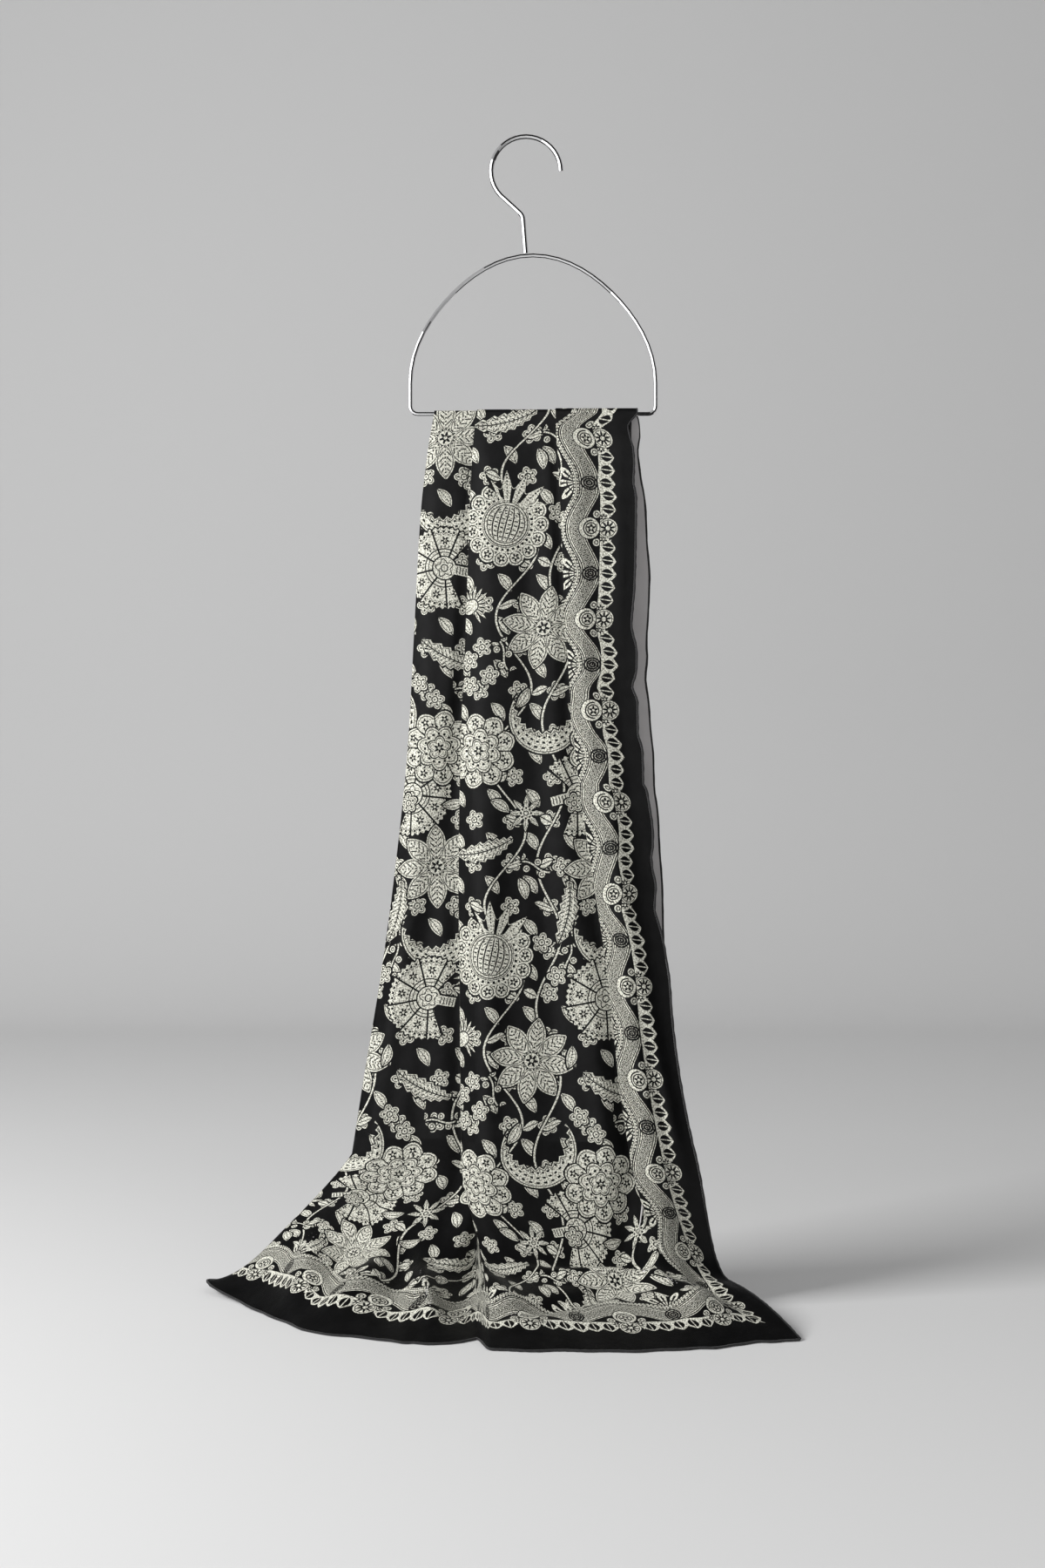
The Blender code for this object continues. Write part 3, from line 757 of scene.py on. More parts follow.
def peony(x, y):
    """Three rings of scalloped petals, rosettes on the outer ones."""
    r, turn = rounded(x, y)
    outer_lobe = abs((turn * 4.5).cos())
    outer = outer_lobe.times_plus(8.0, 37.0) - r
    side = turn.wrapped(math.pi / 9) * 35.0
    marks = rosette(side, r - 35.0, 4.6, 5)
    middle = abs((turn * 3.5 + 0.6).cos()).times_plus(6.5, 21.0) - r
    inner = abs((turn * 2.5).cos()).times_plus(4.5, 10.0) - r
    lines = outer.near(2.6, 0.55) | middle.near(0.0, 0.9) | middle.near(3.6, 0.5)
    lines = lines | inner.near(0.0, 0.8) | inner.near(2.8, 0.45) | marks
    parting = (outer_lobe * r < 3.2) & (middle < 0)
    fringe = ((turn * 34).cos() > 0.35) & middle.near(-3.0, 1.6)
    pips = ((turn * 16).cos() > 0.2) & r.near(17.0, 1.3)
    lines = lines | parting | fringe | pips | rosette(x, y, 6.0, 6)
    return outer, (outer > 0).without(lines)


def lily(x, y):
    """Eight long pointed petals, veined and dotted in turn, round a small core."""
    r, turn = rounded(x, y)
    fold = turn.wrapped(math.pi / 8)
    along = (r * fold.cos()).times_plus(1 / 22.0, -29.0 / 22.0)
    across = r * fold.sin()
    bow = along.times_plus(along * -1.0, 1.0)
    off = abs(across)
    inside = bow * 11.5 - off
    veins = (off.times_plus(0.55, along * -12.0).zigzag(1.9) < 0.55) & off.near(4.4, 2.6)
    dots = (along * 22.0).zigzag(2.2) < 0.9
    lines = inside.near(2.1, 0.5) | (veins & (inside > 3.0)) | ((off < 1.0) & dots)
    core = 9.0 - r
    ink = ((inside > 0) & (r > 9.6)).without(lines)
    ink = ink | (core > 0).without(rosette(x, y, 7.0, 6))
    return inside | core, ink


def fan_flower(x, y):
    """A wide fan of parted panels with a toothed rim, a rosette on each, on a striped neck."""
    r, turn = rounded(x, y)
    step = 0.36
    panel = turn.wrapped(step)
    rim = (turn * 44).sin().times_plus(1.3, 48.0) - r
    inside = rim & (r - 15.0) & ((2.16 - abs(turn)) * 30.0)
    gap = ((step - abs(panel)) * r) < 1.1
    marks = rosette(panel * 33.0, r - 33.0, 5.0, 6)
    ticks = ((turn * 44).sin() < -0.2) & rim.near(3.0, 1.4)
    lines = gap | marks | ticks | rim.near(6.4, 0.5) | r.near(23.0, 0.7) | r.near(19.0, 0.5)
    lines = lines | (((panel * 4.0 / step * math.pi).cos() > 0.5) & r.near(26.0, 1.2))
    heart = 13.4 - r
    petals = ((turn * 5).cos().times_plus(2.0, 9.0) - r).near(0, 0.7) | r.near(4.0, 0.7)
    neck = (5.5 - abs(y)) & (11.0 - abs(x + 22.0))
    rungs = x.zigzag(1.9) < 0.6
    ink = (inside > 0).without(lines) | (heart > 0).without(petals)
    ink = ink | (neck > 0).without(rungs & (neck > 1.3))
    return inside | heart | neck, ink


def crested_fruit(x, y):
    """A ribbed round fruit in a ring of roundels, with a crown of long spikes along +y."""
    r, turn = rounded(x, y)
    step = math.pi / 15
    side = turn.wrapped(step) * 42.0
    ring_r = distance(side, r - 42.0)
    open_top = 24.0 - (y - abs(x) * 0.45)
    ring = (9.6 - ring_r) & open_top
    ring_lines = ring_r.near(7.2, 0.55) | rosette(side, r - 42.0, 4.8, 5)
    web = r.near(31.0, 4.2) & (open_top > 0)
    web_lines = (((turn * 30).cos() > 0.15) & r.near(31.5, 1.7)) | r.near(28.2, 0.4)
    body = 25.5 - r
    round_x = x / (700 - y * y).maths("MAXIMUM", 40.0).maths("SQRT")
    ribs = round_x.zigzag(0.15) < 0.032
    rows = (y.zigzag(2.7) < 0.75) & (round_x.zigzag(0.15) > 0.07) & (y < 8.0)
    top_dots = ((r - 3.0).zigzag(1.6) < 0.6) & ((turn * 14).cos() > 0) & (y > 9.0)
    body_lines = body.near(2.6, 0.55) | ((ribs | rows | top_dots) & (body > 3.6))
    from_base = y - 8.0
    reach = distance(x, from_base)
    lean = from_base.maths("ARCTAN2", x) - 1.75
    spike = 1 - abs((lean * 7.0).sin())
    crown = (spike.times_plus(21.0, 36.0) - reach) & ((0.85 - abs(lean)) * 30) & (reach - 16.0)
    crown_lines = (spike < 0.15) | ((spike > 0.86) & (reach.zigzag(2.0) < 1.1))
    ink = (ring > 0).without(ring_lines) | (crown > 0).without(crown_lines & (crown > 0.9))
    ink = (ink & (body < -0.8)) | web.without(web_lines) | (body > 0).without(body_lines)
    return (ring | crown) | (35.0 - r), ink


def feathered_crescent(x, y):
    """A curled leaf, thick in its middle, with teeth along its hollow side."""
    r, turn = rounded(x, y)
    upper = distance(x - 5.0, y - 17.0)
    upper_turn = (y - 17.0).maths("ARCTAN2", x - 5.0)
    teeth = upper_turn.zigzag(0.13) * 34.0
    inside = (45.0 - r) & (upper - 35.0 - teeth)
    scales = ((turn * 26).cos() > 0.1) & (r.zigzag(3.2) < 1.2)
    veins = ((upper_turn.zigzag(0.13) < 0.014) & (upper < 43.0))
    lines = inside.near(2.2, 0.5) | ((scales | veins) & (inside > 3.2))
    return inside, (inside > 0).without(lines)


def long_leaf(x, y):
    """A toothed leaf along x with a rib and rows of dashes."""
    along = x * (1 / 44.0)
    bow = along.times_plus(along * -1.0, 1.0)
    off = abs(y - bow * 8.0)
    tooth = (x.times_plus(1, off * -0.8)).zigzag(5.5) * 0.6
    inside = bow * 12.5 - off - tooth
    dashes = ((x + off * 0.8).zigzag(2.6) < 0.8) & off.zigzag(2.0).near(1.4, 0.6)
    lines = (off < 0.7) | inside.near(2.0, 0.5) | (dashes & (inside > 2.8))
    return inside, (inside > 0).without(lines)


def small_leaf(x, y):
    """A small plump leaf along x with a dashed rib."""
    along = x * (1 / 14.0)
    bow = along.times_plus(along * -1.0, 1.0)
    off = abs(y - bow * 2.0)
    inside = bow * 6.2 - off
    lines = ((off < 0.6) & (x.zigzag(1.6) < 1.1)) | inside.near(1.7, 0.4)
    return inside, (inside > 0).without(lines)


def berry_spray(x, y):
    """A short stem with berries to each side."""
    stem = (0.9 - abs(y - (x * 0.16).sin() * 2.0)) & (18.0 - abs(x))
    cell_x = x.wrapped(5.0)
    side = (x * (math.pi / 10)).cos().maths("SIGN") * 6.0
    r = distance(cell_x, y - side)
    berry = (3.9 - r) & (20.0 - abs(x))
    ink = (stem > 0) | (berry > 0).without(r.near(1.9, 0.5))
    return stem | berry, ink


DRAWINGS = {"daisy": daisy, "star": star_flower, "thistle": thistle, "peony": peony,
            "lily": lily, "fan": fan_flower, "fruit": crested_fruit,
            "crescent": feathered_crescent, "branch": long_leaf, "leaf": small_leaf,
            "berries": berry_spray}

# The repeat of the field: millimetres across and along the cloth.
TILE = (280.0, 515.0)
Motif = namedtuple("Motif", "kind across along turn")
FIELD_MOTIFS = [Motif(*row) for row in (
    ("fruit", 24, 560, 12), ("lily", -26, 436, 10), ("thistle", 62, 462, 60),
    ("daisy", 62, 396, 0), ("daisy", 36, 378, 20), ("berries", 20, 402, 70),
    ("daisy", 60, 366, 50), ("crescent", -36, 330, 10), ("peony", 44, 288, 0),
    ("leaf", -6, 352, 120), ("leaf", 92, 340, 60), ("star", -16, 214, 0),
    ("fan", -78, 236, 165), ("leaf", 16, 222, 30), ("branch", 36, 176, 165),
    ("berries", -30, 150, 20), ("daisy", -62, 150, 0), ("leaf", -14, 124, 70),
    ("branch", -62, 96, 100), ("daisy", -38, 60, 30), ("berries", -70, 40, 100),
    ("lily", 166, 150, 40), ("daisy", 128, 92, 0), ("crescent", 158, 74, 350),
    ("fan", 164, 508, 10), ("leaf", 108, 136, 20), ("leaf", 108, 190, 150),
    ("thistle", 112, 20, 250), ("leaf", 208, 440, 100), ("leaf", 108, 440, 80),
    ("branch", 158, 408, 205), ("daisy", 196, 370, 0), ("daisy", 176, 350, 30),
    ("berries", 134, 362, 0), ("peony", 170, 292, 20), ("star", 112, 236, 20),
    ("daisy", 206, 226, 10), ("leaf", 150, 226, 170), ("daisy", 224, 20, 0),
)]


def motif_group(kind):
    """The node group that draws one kind of motif."""
    tree = bpy.data.node_groups.get(kind)
    if tree is None:
        tree = bpy.data.node_groups.new(kind, "ShaderNodeTree")
        for name in ("X", "Y"):
            tree.interface.new_socket(name, in_out="INPUT", socket_type="NodeSocketFloat")
        for name in ("Inside", "Ink"):
            tree.interface.new_socket(name, in_out="OUTPUT", socket_type="NodeSocketFloat")
        x = add_node(tree, "NodeGroupInput")
        inside, ink = DRAWINGS[kind](x, Sock(x.socket.node.outputs[1]))
        add_node(tree, "NodeGroupOutput", None, {0: inside, 1: ink}, None)
    return tree


def use_motif(kind, x, y):
    """One kind of motif at a place in its own frame: how far inside it, and its ink."""
    inside = x.other("ShaderNodeGroup", {"node_tree": motif_group(kind)}, {0: x, 1: y})
    return inside, Sock(inside.socket.node.outputs[1])


def draw_motif(across, along, motif):
    """One motif of the tile: how far inside its outline a place is, and its ink."""
    x = (across - motif.across).wrapped(TILE[0] / 2)
    y = (along - motif.along).wrapped(TILE[1] / 2)
    if motif.turn:
        cosine, sine = math.cos(math.radians(motif.turn)), math.sin(math.radians(motif.turn))
        x, y = x.times_plus(cosine, y * sine), y.times_plus(cosine, x * -sine)
    return use_motif(motif.kind, x, y)


def scrolling_vine(across, along, middle, swing, turns, phase):
    """A winding stem with a leaf on each side in turn, repeated with the tile."""
    wave = math.tau * turns / TILE[1]
    bend = along.times_plus(wave, phase).sin()
    from_stem = bend.times_plus(-swing, (across - middle).wrapped(TILE[0] / 2))
    stem = 1.2 - abs(from_stem)
    step = TILE[1] / 20
    side = (along * (math.pi / (2 * step))).cos().maths("SIGN")
    out = (from_stem * side - 10.0) * (1 / 9.5)
    up = abs(out.times_plus(-4.0, along.wrapped(step)))
    blade = out.times_plus(out * -5.2, 5.2) - up
    ink = (stem > 0) | (blade > 0).without(up < 0.6)
    return stem | blade, ink


def small_filling(across, along):
    """Little daisies and leaves on a close lattice, for the gaps of the field."""
    half_x, half_y = TILE[0] / 12, TILE[1] / 20
    _, flowers = use_motif("daisy", across.wrapped(half_x), along.wrapped(half_y))
    x, y = (across - half_x).wrapped(half_x), (along - half_y).wrapped(half_y)
    _, leaves = use_motif("leaf", x.times_plus(0.62, y * 0.78), y.times_plus(0.62, x * -0.78))
    return flowers | leaves


def field_print(across, along):
    """The whole field: motifs, vines between them and small filling in what is left."""
    depth, ink = scrolling_vine(across, along, 104, 17, 3, 0.6)
    for middle, swing, turns, phase in ((234, 15, 3, 2.2), (8, 24, 3, 4.0)):
        more_depth, more_ink = scrolling_vine(across, along, middle, swing, turns, phase)
        depth, ink = depth | more_depth, ink | more_ink
    ink = ink | (small_filling(across, along) & (depth < -1.8))
    for motif in FIELD_MOTIFS:
        inside, more_ink = draw_motif(across, along, motif)
        ink = (ink & (inside < -2.2)) | more_ink
    return ink


BORDER_REPEAT = 109.0
BORDER_DEPTH = 66.0                 # from its outer tips to the field


def border_print(depth, along):
    """The lace border, by depth from its outer tips and place along the edge (millimetres)."""
    half = BORDER_REPEAT / 2
    at_roundel = along.wrapped(half)
    at_bay = (along - half).wrapped(half)
    from_roundel = abs(at_roundel)
    # Scallops: one large round bump with a rosette, small ones beside it, five leaf lobes.
    from_bump = depth - 11.4
    big = distance(at_roundel, from_bump)
    big_ink = (big < 11.4).without(rosette(at_roundel, from_bump, 8.6, 9) | big.near(9.6, 0.4))
    small = distance(from_roundel - 13.0, depth - 16.5)
    small_dark = rosette(from_roundel - 13.0, depth - 16.5, 4.6, 6)
    lobe = at_bay.wrapped(7.9)
    slant = abs((depth - 10.0).times_plus(-0.16, lobe))
    tip = slant.times_plus(slant * 0.035 + 0.45, abs(at_bay) * 0.06)
    along_leaf = (depth - 11.0) * (1 / 7.8)
    leaf = along_leaf.times_plus(along_leaf * -5.6, 5.6) - slant
    lobes = ((depth > tip) & (from_roundel > 14.0)).without((leaf & (slant - 0.6)) > 0)
    collar = (small < 6.4) | ((depth > 15.0) & (from_roundel < 16.0))
    scallops = big_ink | ((lobes | collar) & (big > 12.2)).without(small_dark)
    # The ribbon winds out midway between the roundels and in behind the medallions.
    wave = (along * (math.tau / BORDER_REPEAT)).cos()
    off = depth - wave.times_plus(10.0, 41.0)
    in_ribbon = 11.5 - abs(off)
    weave = abs((along * (math.tau / 12.6)).cos() * (off * (math.tau / 11.0)).cos())
    mosaic = weave.near(0.46, 0.16) | (weave > 0.84) | (weave < 0.10)
    edge_lines = in_ribbon.near(1.7, 0.75) | in_ribbon.near(4.6, 0.6)
    ribbon = (in_ribbon > 0).without((mosaic & (in_ribbon > 5.8)) | edge_lines)
    paisley_r = distance(at_bay, (depth - 31.5) * 0.8)
    paisley = (paisley_r < 9.0) & (paisley_r.zigzag(1.3) < 0.92)
    ribbon = ribbon.without(paisley)
    # Medallions at the roundels, each with a crescent and a flower, on the black.
    from_medal = depth - 34.0
    medal = 12.6 - distance(at_roundel, from_medal)
    inner = distance(at_roundel, from_medal + 2.4)
    medal_dark = (rosette(at_roundel, from_medal + 2.4, 5.2, 5) | inner.near(6.6, 0.7)
                  | (inner.near(9.4, 0.8) & (from_medal > -4.0)))
    medals = (medal > 0).without(medal_dark)
    curl = distance(from_roundel - 17.0, depth - 25.0)
    curls = (curl < 4.4).without(curl.near(2.2, 0.6))
    # A ladder follows the ribbon's inner side; scrolls and sprays fill the bays.
    dash = along.zigzag(1.9) > 0.7
    ladder = ((off.near(14.2, 0.9) | off.near(18.6, 0.9)) & dash) | off.near(16.4, 0.7)
    scroll_x, scroll_y = from_roundel - 12.0, depth - 60.0
    scroll_r, scroll_turn = rounded(scroll_x, scroll_y)
    scrolls = (scroll_r.times_plus(1.3, scroll_turn * -1.0).sin() > 0.0) & (scroll_r < 7.0)
    spray_r, spray_turn = rounded(at_bay, depth - 46.0)
    petal = (spray_turn * 9).sin()
    spray = petal.times_plus(7.0, 22.0) - spray_r
    spray_dark = (petal < -0.5) | spray_r.near(12.5, 0.8) | ((petal > 0.8) & (spray_r < 22.0))
    sprays = ((spray > 0) & (off > 12.6)).without(spray_dark)
    outer = scallops & (depth < 20.6)
    bands = (ribbon & (medal < -1.0)) | medals | (curls & (in_ribbon < -1.0) & (depth > 21.6))
    inside = ladder | (scrolls & (off > 20.4)) | (sprays & ((off > 20.4) | (off < 13.0)))
    return outer | (bands & (depth > 21.4)) | (inside & (medal < -1.0))


def printed_cloth(settings):
    """The printed face: black ground, ivory print, fine weave."""
    material, tree, shader = new_material(
        "printed_face", Roughness=0.42, Sheen_Weight=0.02, Sheen_Roughness=0.4,
        Specular_IOR_Level=0.15)
    place, (across, along, from_left) = flat_place(tree)
    side_band, end_band = settings.side_band * 1000, settings.end_band * 1000
    from_side = (across & from_left) - side_band
    from_end = (along & (WHOLE_LENGTH - along)) - end_band
    at_side = from_side < from_end
    depth = from_side & from_end
    run = at_side.other("ShaderNodeMix", {"data_type": "FLOAT"}, {
        0: at_side, 2: across - side_band - BORDER_REPEAT / 2,
        3: along - end_band - BORDER_REPEAT / 2})
    border = border_print(depth, run)
    field = field_print(across, along)
    ink = border | (field & (depth > BORDER_DEPTH))
    lace = (flat_noise(place, 520.0, 1.0) * 3.2 - 1.0) & 1.0
    ivory = mixed(lace, (0.21, 0.208, 0.170), (0.73, 0.725, 0.64))
    ground = mixed(flat_noise(place, 45.0, 4.0), (0.002, 0.002, 0.0021), (0.007, 0.007, 0.0072))
    link(tree, mixed(ink, ground, ivory), shader, "Base Color")
    link(tree, weave_normal(place, across, along), shader, "Normal")
    return material


def weave_normal(place, across, along):
    """A fine plain weave and slight crinkles."""
    threads = (across * 9.0).sin() * (along * 9.0).sin()
    return bumped(threads * 0.1 + flat_noise(place, 120.0, 3.0), 0.25, 0.0012)


def plain_reverse():
    """The reverse of the cloth, a plain pale grey."""
    material, tree, shader = new_material(
        "plain_reverse", Roughness=0.7, Sheen_Weight=0.2, Sheen_Roughness=0.5)
    place, (across, along, _) = flat_place(tree)
    grey = mixed(flat_noise(place, 30.0, 3.0), (0.46, 0.445, 0.445), (0.56, 0.54, 0.54))
    link(tree, grey, shader, "Base Color")
    link(tree, weave_normal(place, across, along), shader, "Normal")
    return material


def rolled_edge():
    """Black rolled and whipped edge."""
    material, tree, shader = new_material("rolled_edge", Roughness=0.7, Sheen_Weight=0.2)
    noise = noise_at(add_node(tree, "ShaderNodeTexCoord", output=3), 320.0, 2.0)
    link(tree, mixed(noise, (0.004, 0.004, 0.0045), (0.022, 0.022, 0.023)), shader,
         "Base Color")
    link(tree, bumped(noise, 0.5, 0.0006), shader, "Normal")
    return material


def bright_chrome():
    """Polished chrome with faint unevenness of its shine."""
    material, tree, shader = new_material("bright_chrome", Metallic=1.0)
    shader.inputs["Base Color"].default_value = (0.80, 0.80, 0.81, 1.0)
    noise = noise_at(add_node(tree, "ShaderNodeTexCoord", output=3), 60.0, 3.0)
    link(tree, noise * 0.08 + 0.03, shader, "Roughness")
    link(tree, bumped(noise, 0.08, 0.0004), shader, "Normal")
    return material


# ---------------------------------------------------------------- pieces

def link_piece(thing, collection, *replaced):
    """Puts a piece in the scene, on the one body, in place of its CAD nodes."""
    collection.objects.link(thing)
    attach(thing, "root")
    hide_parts(*replaced)


def edge_roll(edge, inside, radius):
    """The middle of a rolled edge: square to the cloth's edge, just clear of its rim."""
    edge, inside = np.asarray(edge), np.asarray(inside)
    along = np.gradient(edge, axis=0)
    along /= np.linalg.norm(along, axis=1, keepdims=True)
    outward = edge - inside
    outward -= along * np.sum(outward * along, axis=1, keepdims=True)
    outward /= np.linalg.norm(outward, axis=1, keepdims=True)
    return edge + outward * (radius[:, None] + ROLL_OFF_RIM)


def roll_radii(line, size):
    """Roll radii along a line: a little uneven, and thinner where it crosses the bar."""
    arc = arc_along(line)
    uneven = 1.0 + 0.10 * np.sin(arc * 0.61) + 0.07 * np.sin(arc * 0.23 + 1.7)
    from_bar = (np.asarray(line)[:, 2] - BAR_Z) / 45.0
    return size * uneven * (1.0 - 0.4 * np.exp(-from_bar * from_bar))


def on_bar_and_floor(line, radii):
    """Keeps a roll outside the bar's wire and on the floor."""
    line = line.copy()
    nearest = BAR_WIRE_RADIUS + ROLL_OFF_BAR + radii
    away = line[:, 1:] - (0.0, BAR_Z)
    length = np.linalg.norm(away, axis=1)
    close = length < nearest
    line[close, 1:] = (0.0, BAR_Z) + away[close] / length[close, None] * nearest[close, None]
    line[:, 2] = np.maximum(line[:, 2], FLOOR_Z + radii)
    return line


class DupattaCloth(bpy.types.PropertyGroup):
    """Sizes of the cloth and its print."""
    wall: FloatProperty(name="Wall", description="Thickness of the cloth's shell",
                        default=0.00034, unit="LENGTH", precision=5)
    roll: FloatProperty(name="Rolled edge", description="Radius of the rolled edge",
                        default=0.0013, unit="LENGTH", precision=5)
    side_band: FloatProperty(name="Side band", description="Plain black band at the selvedges",
                             default=0.021, unit="LENGTH")
    end_band: FloatProperty(name="End band", description="Plain black band at the two ends",
                            default=0.034, unit="LENGTH")


class DupattaStage(bpy.types.PropertyGroup):
    """The camera, light and floor."""
    distance: FloatProperty(name="Camera distance", description="From the bar to the camera",
                            default=2.625, unit="LENGTH")
    eye: FloatProperty(name="Camera height", description="Height of the camera, from the hook",
                       default=-0.7775, unit="LENGTH")
    lens: FloatProperty(name="Lens", description="Focal length of the camera in millimetres",
                        default=50.0)
    key: FloatProperty(name="Window light", description="Power of the large soft light",
                       default=165.0, unit="POWER")
    fill: FloatProperty(name="Fill light", description="Power of the soft light at the right",
                        default=8.0, unit="POWER")
    world: FloatProperty(name="Surroundings", description="Brightness of the surroundings",
                         default=0.44)


def pieces_collection():
    """The collection that holds the dressed pieces."""
    return bpy.data.collections.get("dupatta") or collection_for("dupatta")


def cloth_materials(settings):
    """The face and reverse, made once and shared by both shells."""
    face = bpy.data.materials.get("printed_face") or printed_cloth(settings)
    back = bpy.data.materials.get("plain_reverse") or plain_reverse()
    return face, back


class DUPATTA_OT_stage(bpy.types.Operator):
    """Camera, pale floor and wall, soft studio light"""
    bl_idname = "dupatta.stage"
    bl_label = "Stage"

    def execute(self, context):
        stage = context.scene.dupatta_stage
        holder = collection_for("stage")
        camera = bpy.data.cameras.new("view")
        camera.lens = stage.lens
        camera.sensor_fit = "VERTICAL"
        camera.sensor_height = 36.0
        camera.clip_start = 0.05
        viewer = bpy.data.objects.new("view", camera)
        viewer.location = (-0.0042, -stage.distance, stage.eye)
        viewer.rotation_euler = (math.pi / 2, 0.0, 0.0)
        holder.objects.link(viewer)
        context.scene.camera = viewer
        self.backdrop(holder)
        dark = self.card_paint("dark_card", 0.01, 0.0)
        glow = self.card_paint("glowing_card", 0.8, 2.2)
        high = CARD_HIGH
        for x, front in ((-1.5, -0.4), (1.5, -2.2)):
            self.card(holder, dark, [(x, front, -high), (x, 1.2, -high), (x, 1.2, high),
                                     (x, front, high)])
        for z in (-high, high):
            self.card(holder, dark, [(-1.5, -0.4, z), (1.5, -2.2, z), (1.5, 1.2, z),
                                     (-1.5, 1.2, z)])
        self.card(holder, glow, [(-3.2, -1.7, -high), (0.1, -3.6, -high), (0.1, -3.6, 1.6),
                                 (-3.2, -1.7, 1.6)])
        self.light(holder, "window", (-2.9, -1.5, 0.7), 1.5, stage.key)
        self.light(holder, "fill", (1.5, -2.9, 0.6), 1.4, stage.fill)
        world = bpy.data.worlds.new("studio")
        world.use_nodes = True
        background = world.node_tree.nodes["Background"]
        background.inputs["Color"].default_value = (1.0, 1.0, 1.0, 1.0)
        background.inputs["Strength"].default_value = stage.world
        context.scene.world = world
        context.scene.view_settings.view_transform = "Standard"
        return {"FINISHED"}

    def backdrop(self, holder):
        """A pale floor that sweeps up into a wall far behind."""
        floor_z = FLOOR_Z * MM
        profile = [(FLOOR_FRONT, floor_z), (WALL_Y - SWEEP, floor_z)]
        for k in range(1, SWEEP_STEPS + 1):
            turn = math.pi / 2 * k / SWEEP_STEPS
            profile.append((WALL_Y - SWEEP + SWEEP * math.sin(turn),
                            floor_z + SWEEP * (1 - math.cos(turn))))
        profile.append((WALL_Y, floor_z + WALL_TOP))
        points = [(x, y, z) for y, z in profile for x in (-FLOOR_HALF, FLOOR_HALF)]
        faces = [(2 * k, 2 * k + 1, 2 * k + 3, 2 * k + 2) for k in range(len(profile) - 1)]
        mesh = bpy.data.meshes.new("backdrop")
        mesh.from_pydata(points, (), faces)
        mesh.shade_smooth()
        material, _, shader = new_material("pale_paint", Roughness=0.85)
        shader.inputs["Base Color"].default_value = (0.64, 0.64, 0.64, 1.0)
        mesh.materials.append(material)
        thing = bpy.data.objects.new("backdrop", mesh)
        holder.objects.link(thing)

    def card_paint(self, name, grey, glow):
        """Matt paint for a card, glowing or not."""
        material, _, shader = new_material(name, Roughness=1.0, Emission_Strength=glow)
        for socket in ("Base Color", "Emission Color"):
            shader.inputs[socket].default_value = (grey, grey, grey, 1.0)
        return material

    def card(self, holder, material, corners):
        """A flat card that only the chrome reflects."""
        mesh = bpy.data.meshes.new("card")
        mesh.from_pydata(corners, (), [(0, 1, 2, 3)])
        mesh.materials.append(material)
        thing = bpy.data.objects.new("card", mesh)
        thing.visible_camera = False
        thing.visible_diffuse = False
        thing.visible_shadow = False
        holder.objects.link(thing)

    def light(self, holder, name, place, size, power):
        """A large soft lamp that faces the cloth."""
        lamp = bpy.data.lights.new(name, "AREA")
        lamp.shape = "SQUARE"
        lamp.size = size
        lamp.energy = power
        thing = bpy.data.objects.new(name, lamp)
        thing.location = place
        thing.visible_glossy = False
        facing = Vector(LAMP_TARGET) - Vector(place)
        thing.rotation_euler = facing.to_track_quat("-Z", "Y").to_euler()
        holder.objects.link(thing)


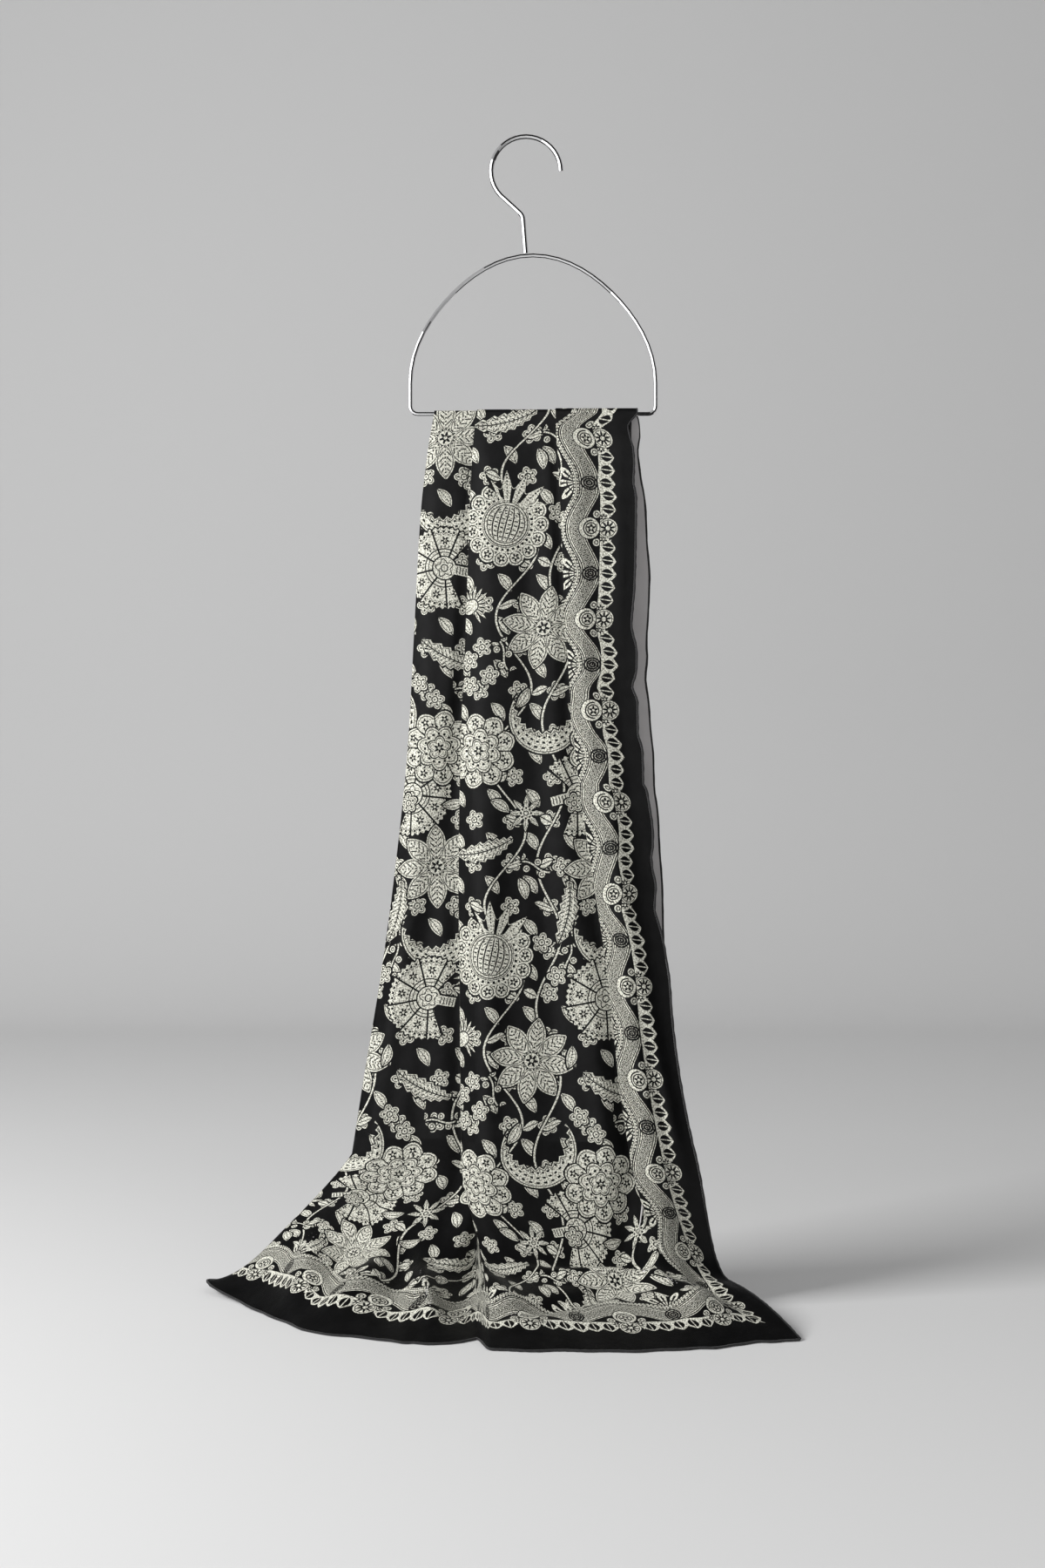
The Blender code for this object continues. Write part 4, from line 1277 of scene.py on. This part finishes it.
class DUPATTA_OT_cloth(bpy.types.Operator):
    """The printed cloth in front and behind, with its rolled edges"""
    bl_idname = "dupatta.cloth"
    bl_label = "Cloth"

    def execute(self, context):
        settings = context.scene.dupatta_cloth
        holder = pieces_collection()
        materials = cloth_materials(settings)
        wall = settings.wall * 1000
        front, front_places = front_grid()
        back, back_places = back_grid()
        front_piece = shell("front_cloth", front, front_places, wall, materials)
        back_piece = shell("back_cloth", back, back_places, wall, materials, -1.0)
        for piece, nodes in (
                (front_piece, ("cloth_front_fall", "cloth_floor_train", "cloth_over_bar")),
                (back_piece, ("cloth_back_fall",))):
            link_piece(piece, holder, *nodes)
        whole = np.concatenate((back[:0:-1], front))
        edge = rolled_edge()
        size = settings.roll * 1000
        for name, line, inner in (
                ("hem_right", whole[:, 0], whole[:, 1]), ("hem_left", whole[:, -1], whole[:, -2]),
                ("hem_front_end", front[-1], front[-2]), ("hem_back_end", back[-1], back[-2])):
            radii = roll_radii(line, size)
            middle = on_bar_and_floor(edge_roll(line, inner, radii), radii)
            roll = sweep("rolled_" + name, middle, radii, edge)
            link_piece(roll, holder, name)
        return {"FINISHED"}


class DUPATTA_OT_hanger(bpy.types.Operator):
    """Bright chrome on the wire hanger"""
    bl_idname = "dupatta.hanger"
    bl_label = "Hanger"

    def execute(self, context):
        chrome = bright_chrome()
        for name in ("hanger_frame", "hanger_hook"):
            wire = bpy.data.objects[name]
            for slot in wire.material_slots:
                slot.material = chrome
            wire.data.shade_smooth()
        return {"FINISHED"}


class DUPATTA_PT_panel(bpy.types.Panel):
    """Lists the steps in the order in which they run"""
    bl_label = "Dupatta"
    bl_idname = "DUPATTA_PT_panel"
    bl_space_type = "VIEW_3D"
    bl_region_type = "UI"
    bl_category = "Dupatta"

    def draw(self, context):
        layout = self.layout
        for group, step in ((context.scene.dupatta_stage, DUPATTA_OT_stage),
                            (context.scene.dupatta_cloth, DUPATTA_OT_cloth)):
            for name in group.bl_rna.properties.keys():
                if name not in ("rna_type", "name"):
                    layout.prop(group, name)
            layout.operator(step.bl_idname)
        layout.operator(DUPATTA_OT_hanger.bl_idname)


CLASSES = (DupattaCloth, DupattaStage, DUPATTA_OT_stage, DUPATTA_OT_cloth, DUPATTA_OT_hanger,
           DUPATTA_PT_panel)


def register():
    """Registers the classes and hangs the settings on the scene."""
    for cls in CLASSES:
        bpy.utils.register_class(cls)
    bpy.types.Scene.dupatta_cloth = PointerProperty(type=DupattaCloth)
    bpy.types.Scene.dupatta_stage = PointerProperty(type=DupattaStage)


def unregister():
    """Takes the settings and the classes away again."""
    del bpy.types.Scene.dupatta_stage
    del bpy.types.Scene.dupatta_cloth
    for cls in reversed(CLASSES):
        bpy.utils.unregister_class(cls)


def main():
    """Builds the whole scene."""
    register()
    bpy.ops.dupatta.stage()
    bpy.ops.dupatta.hanger()
    bpy.ops.dupatta.cloth()
    bpy.context.view_layer.update()


if __name__ == "__main__":
    main()
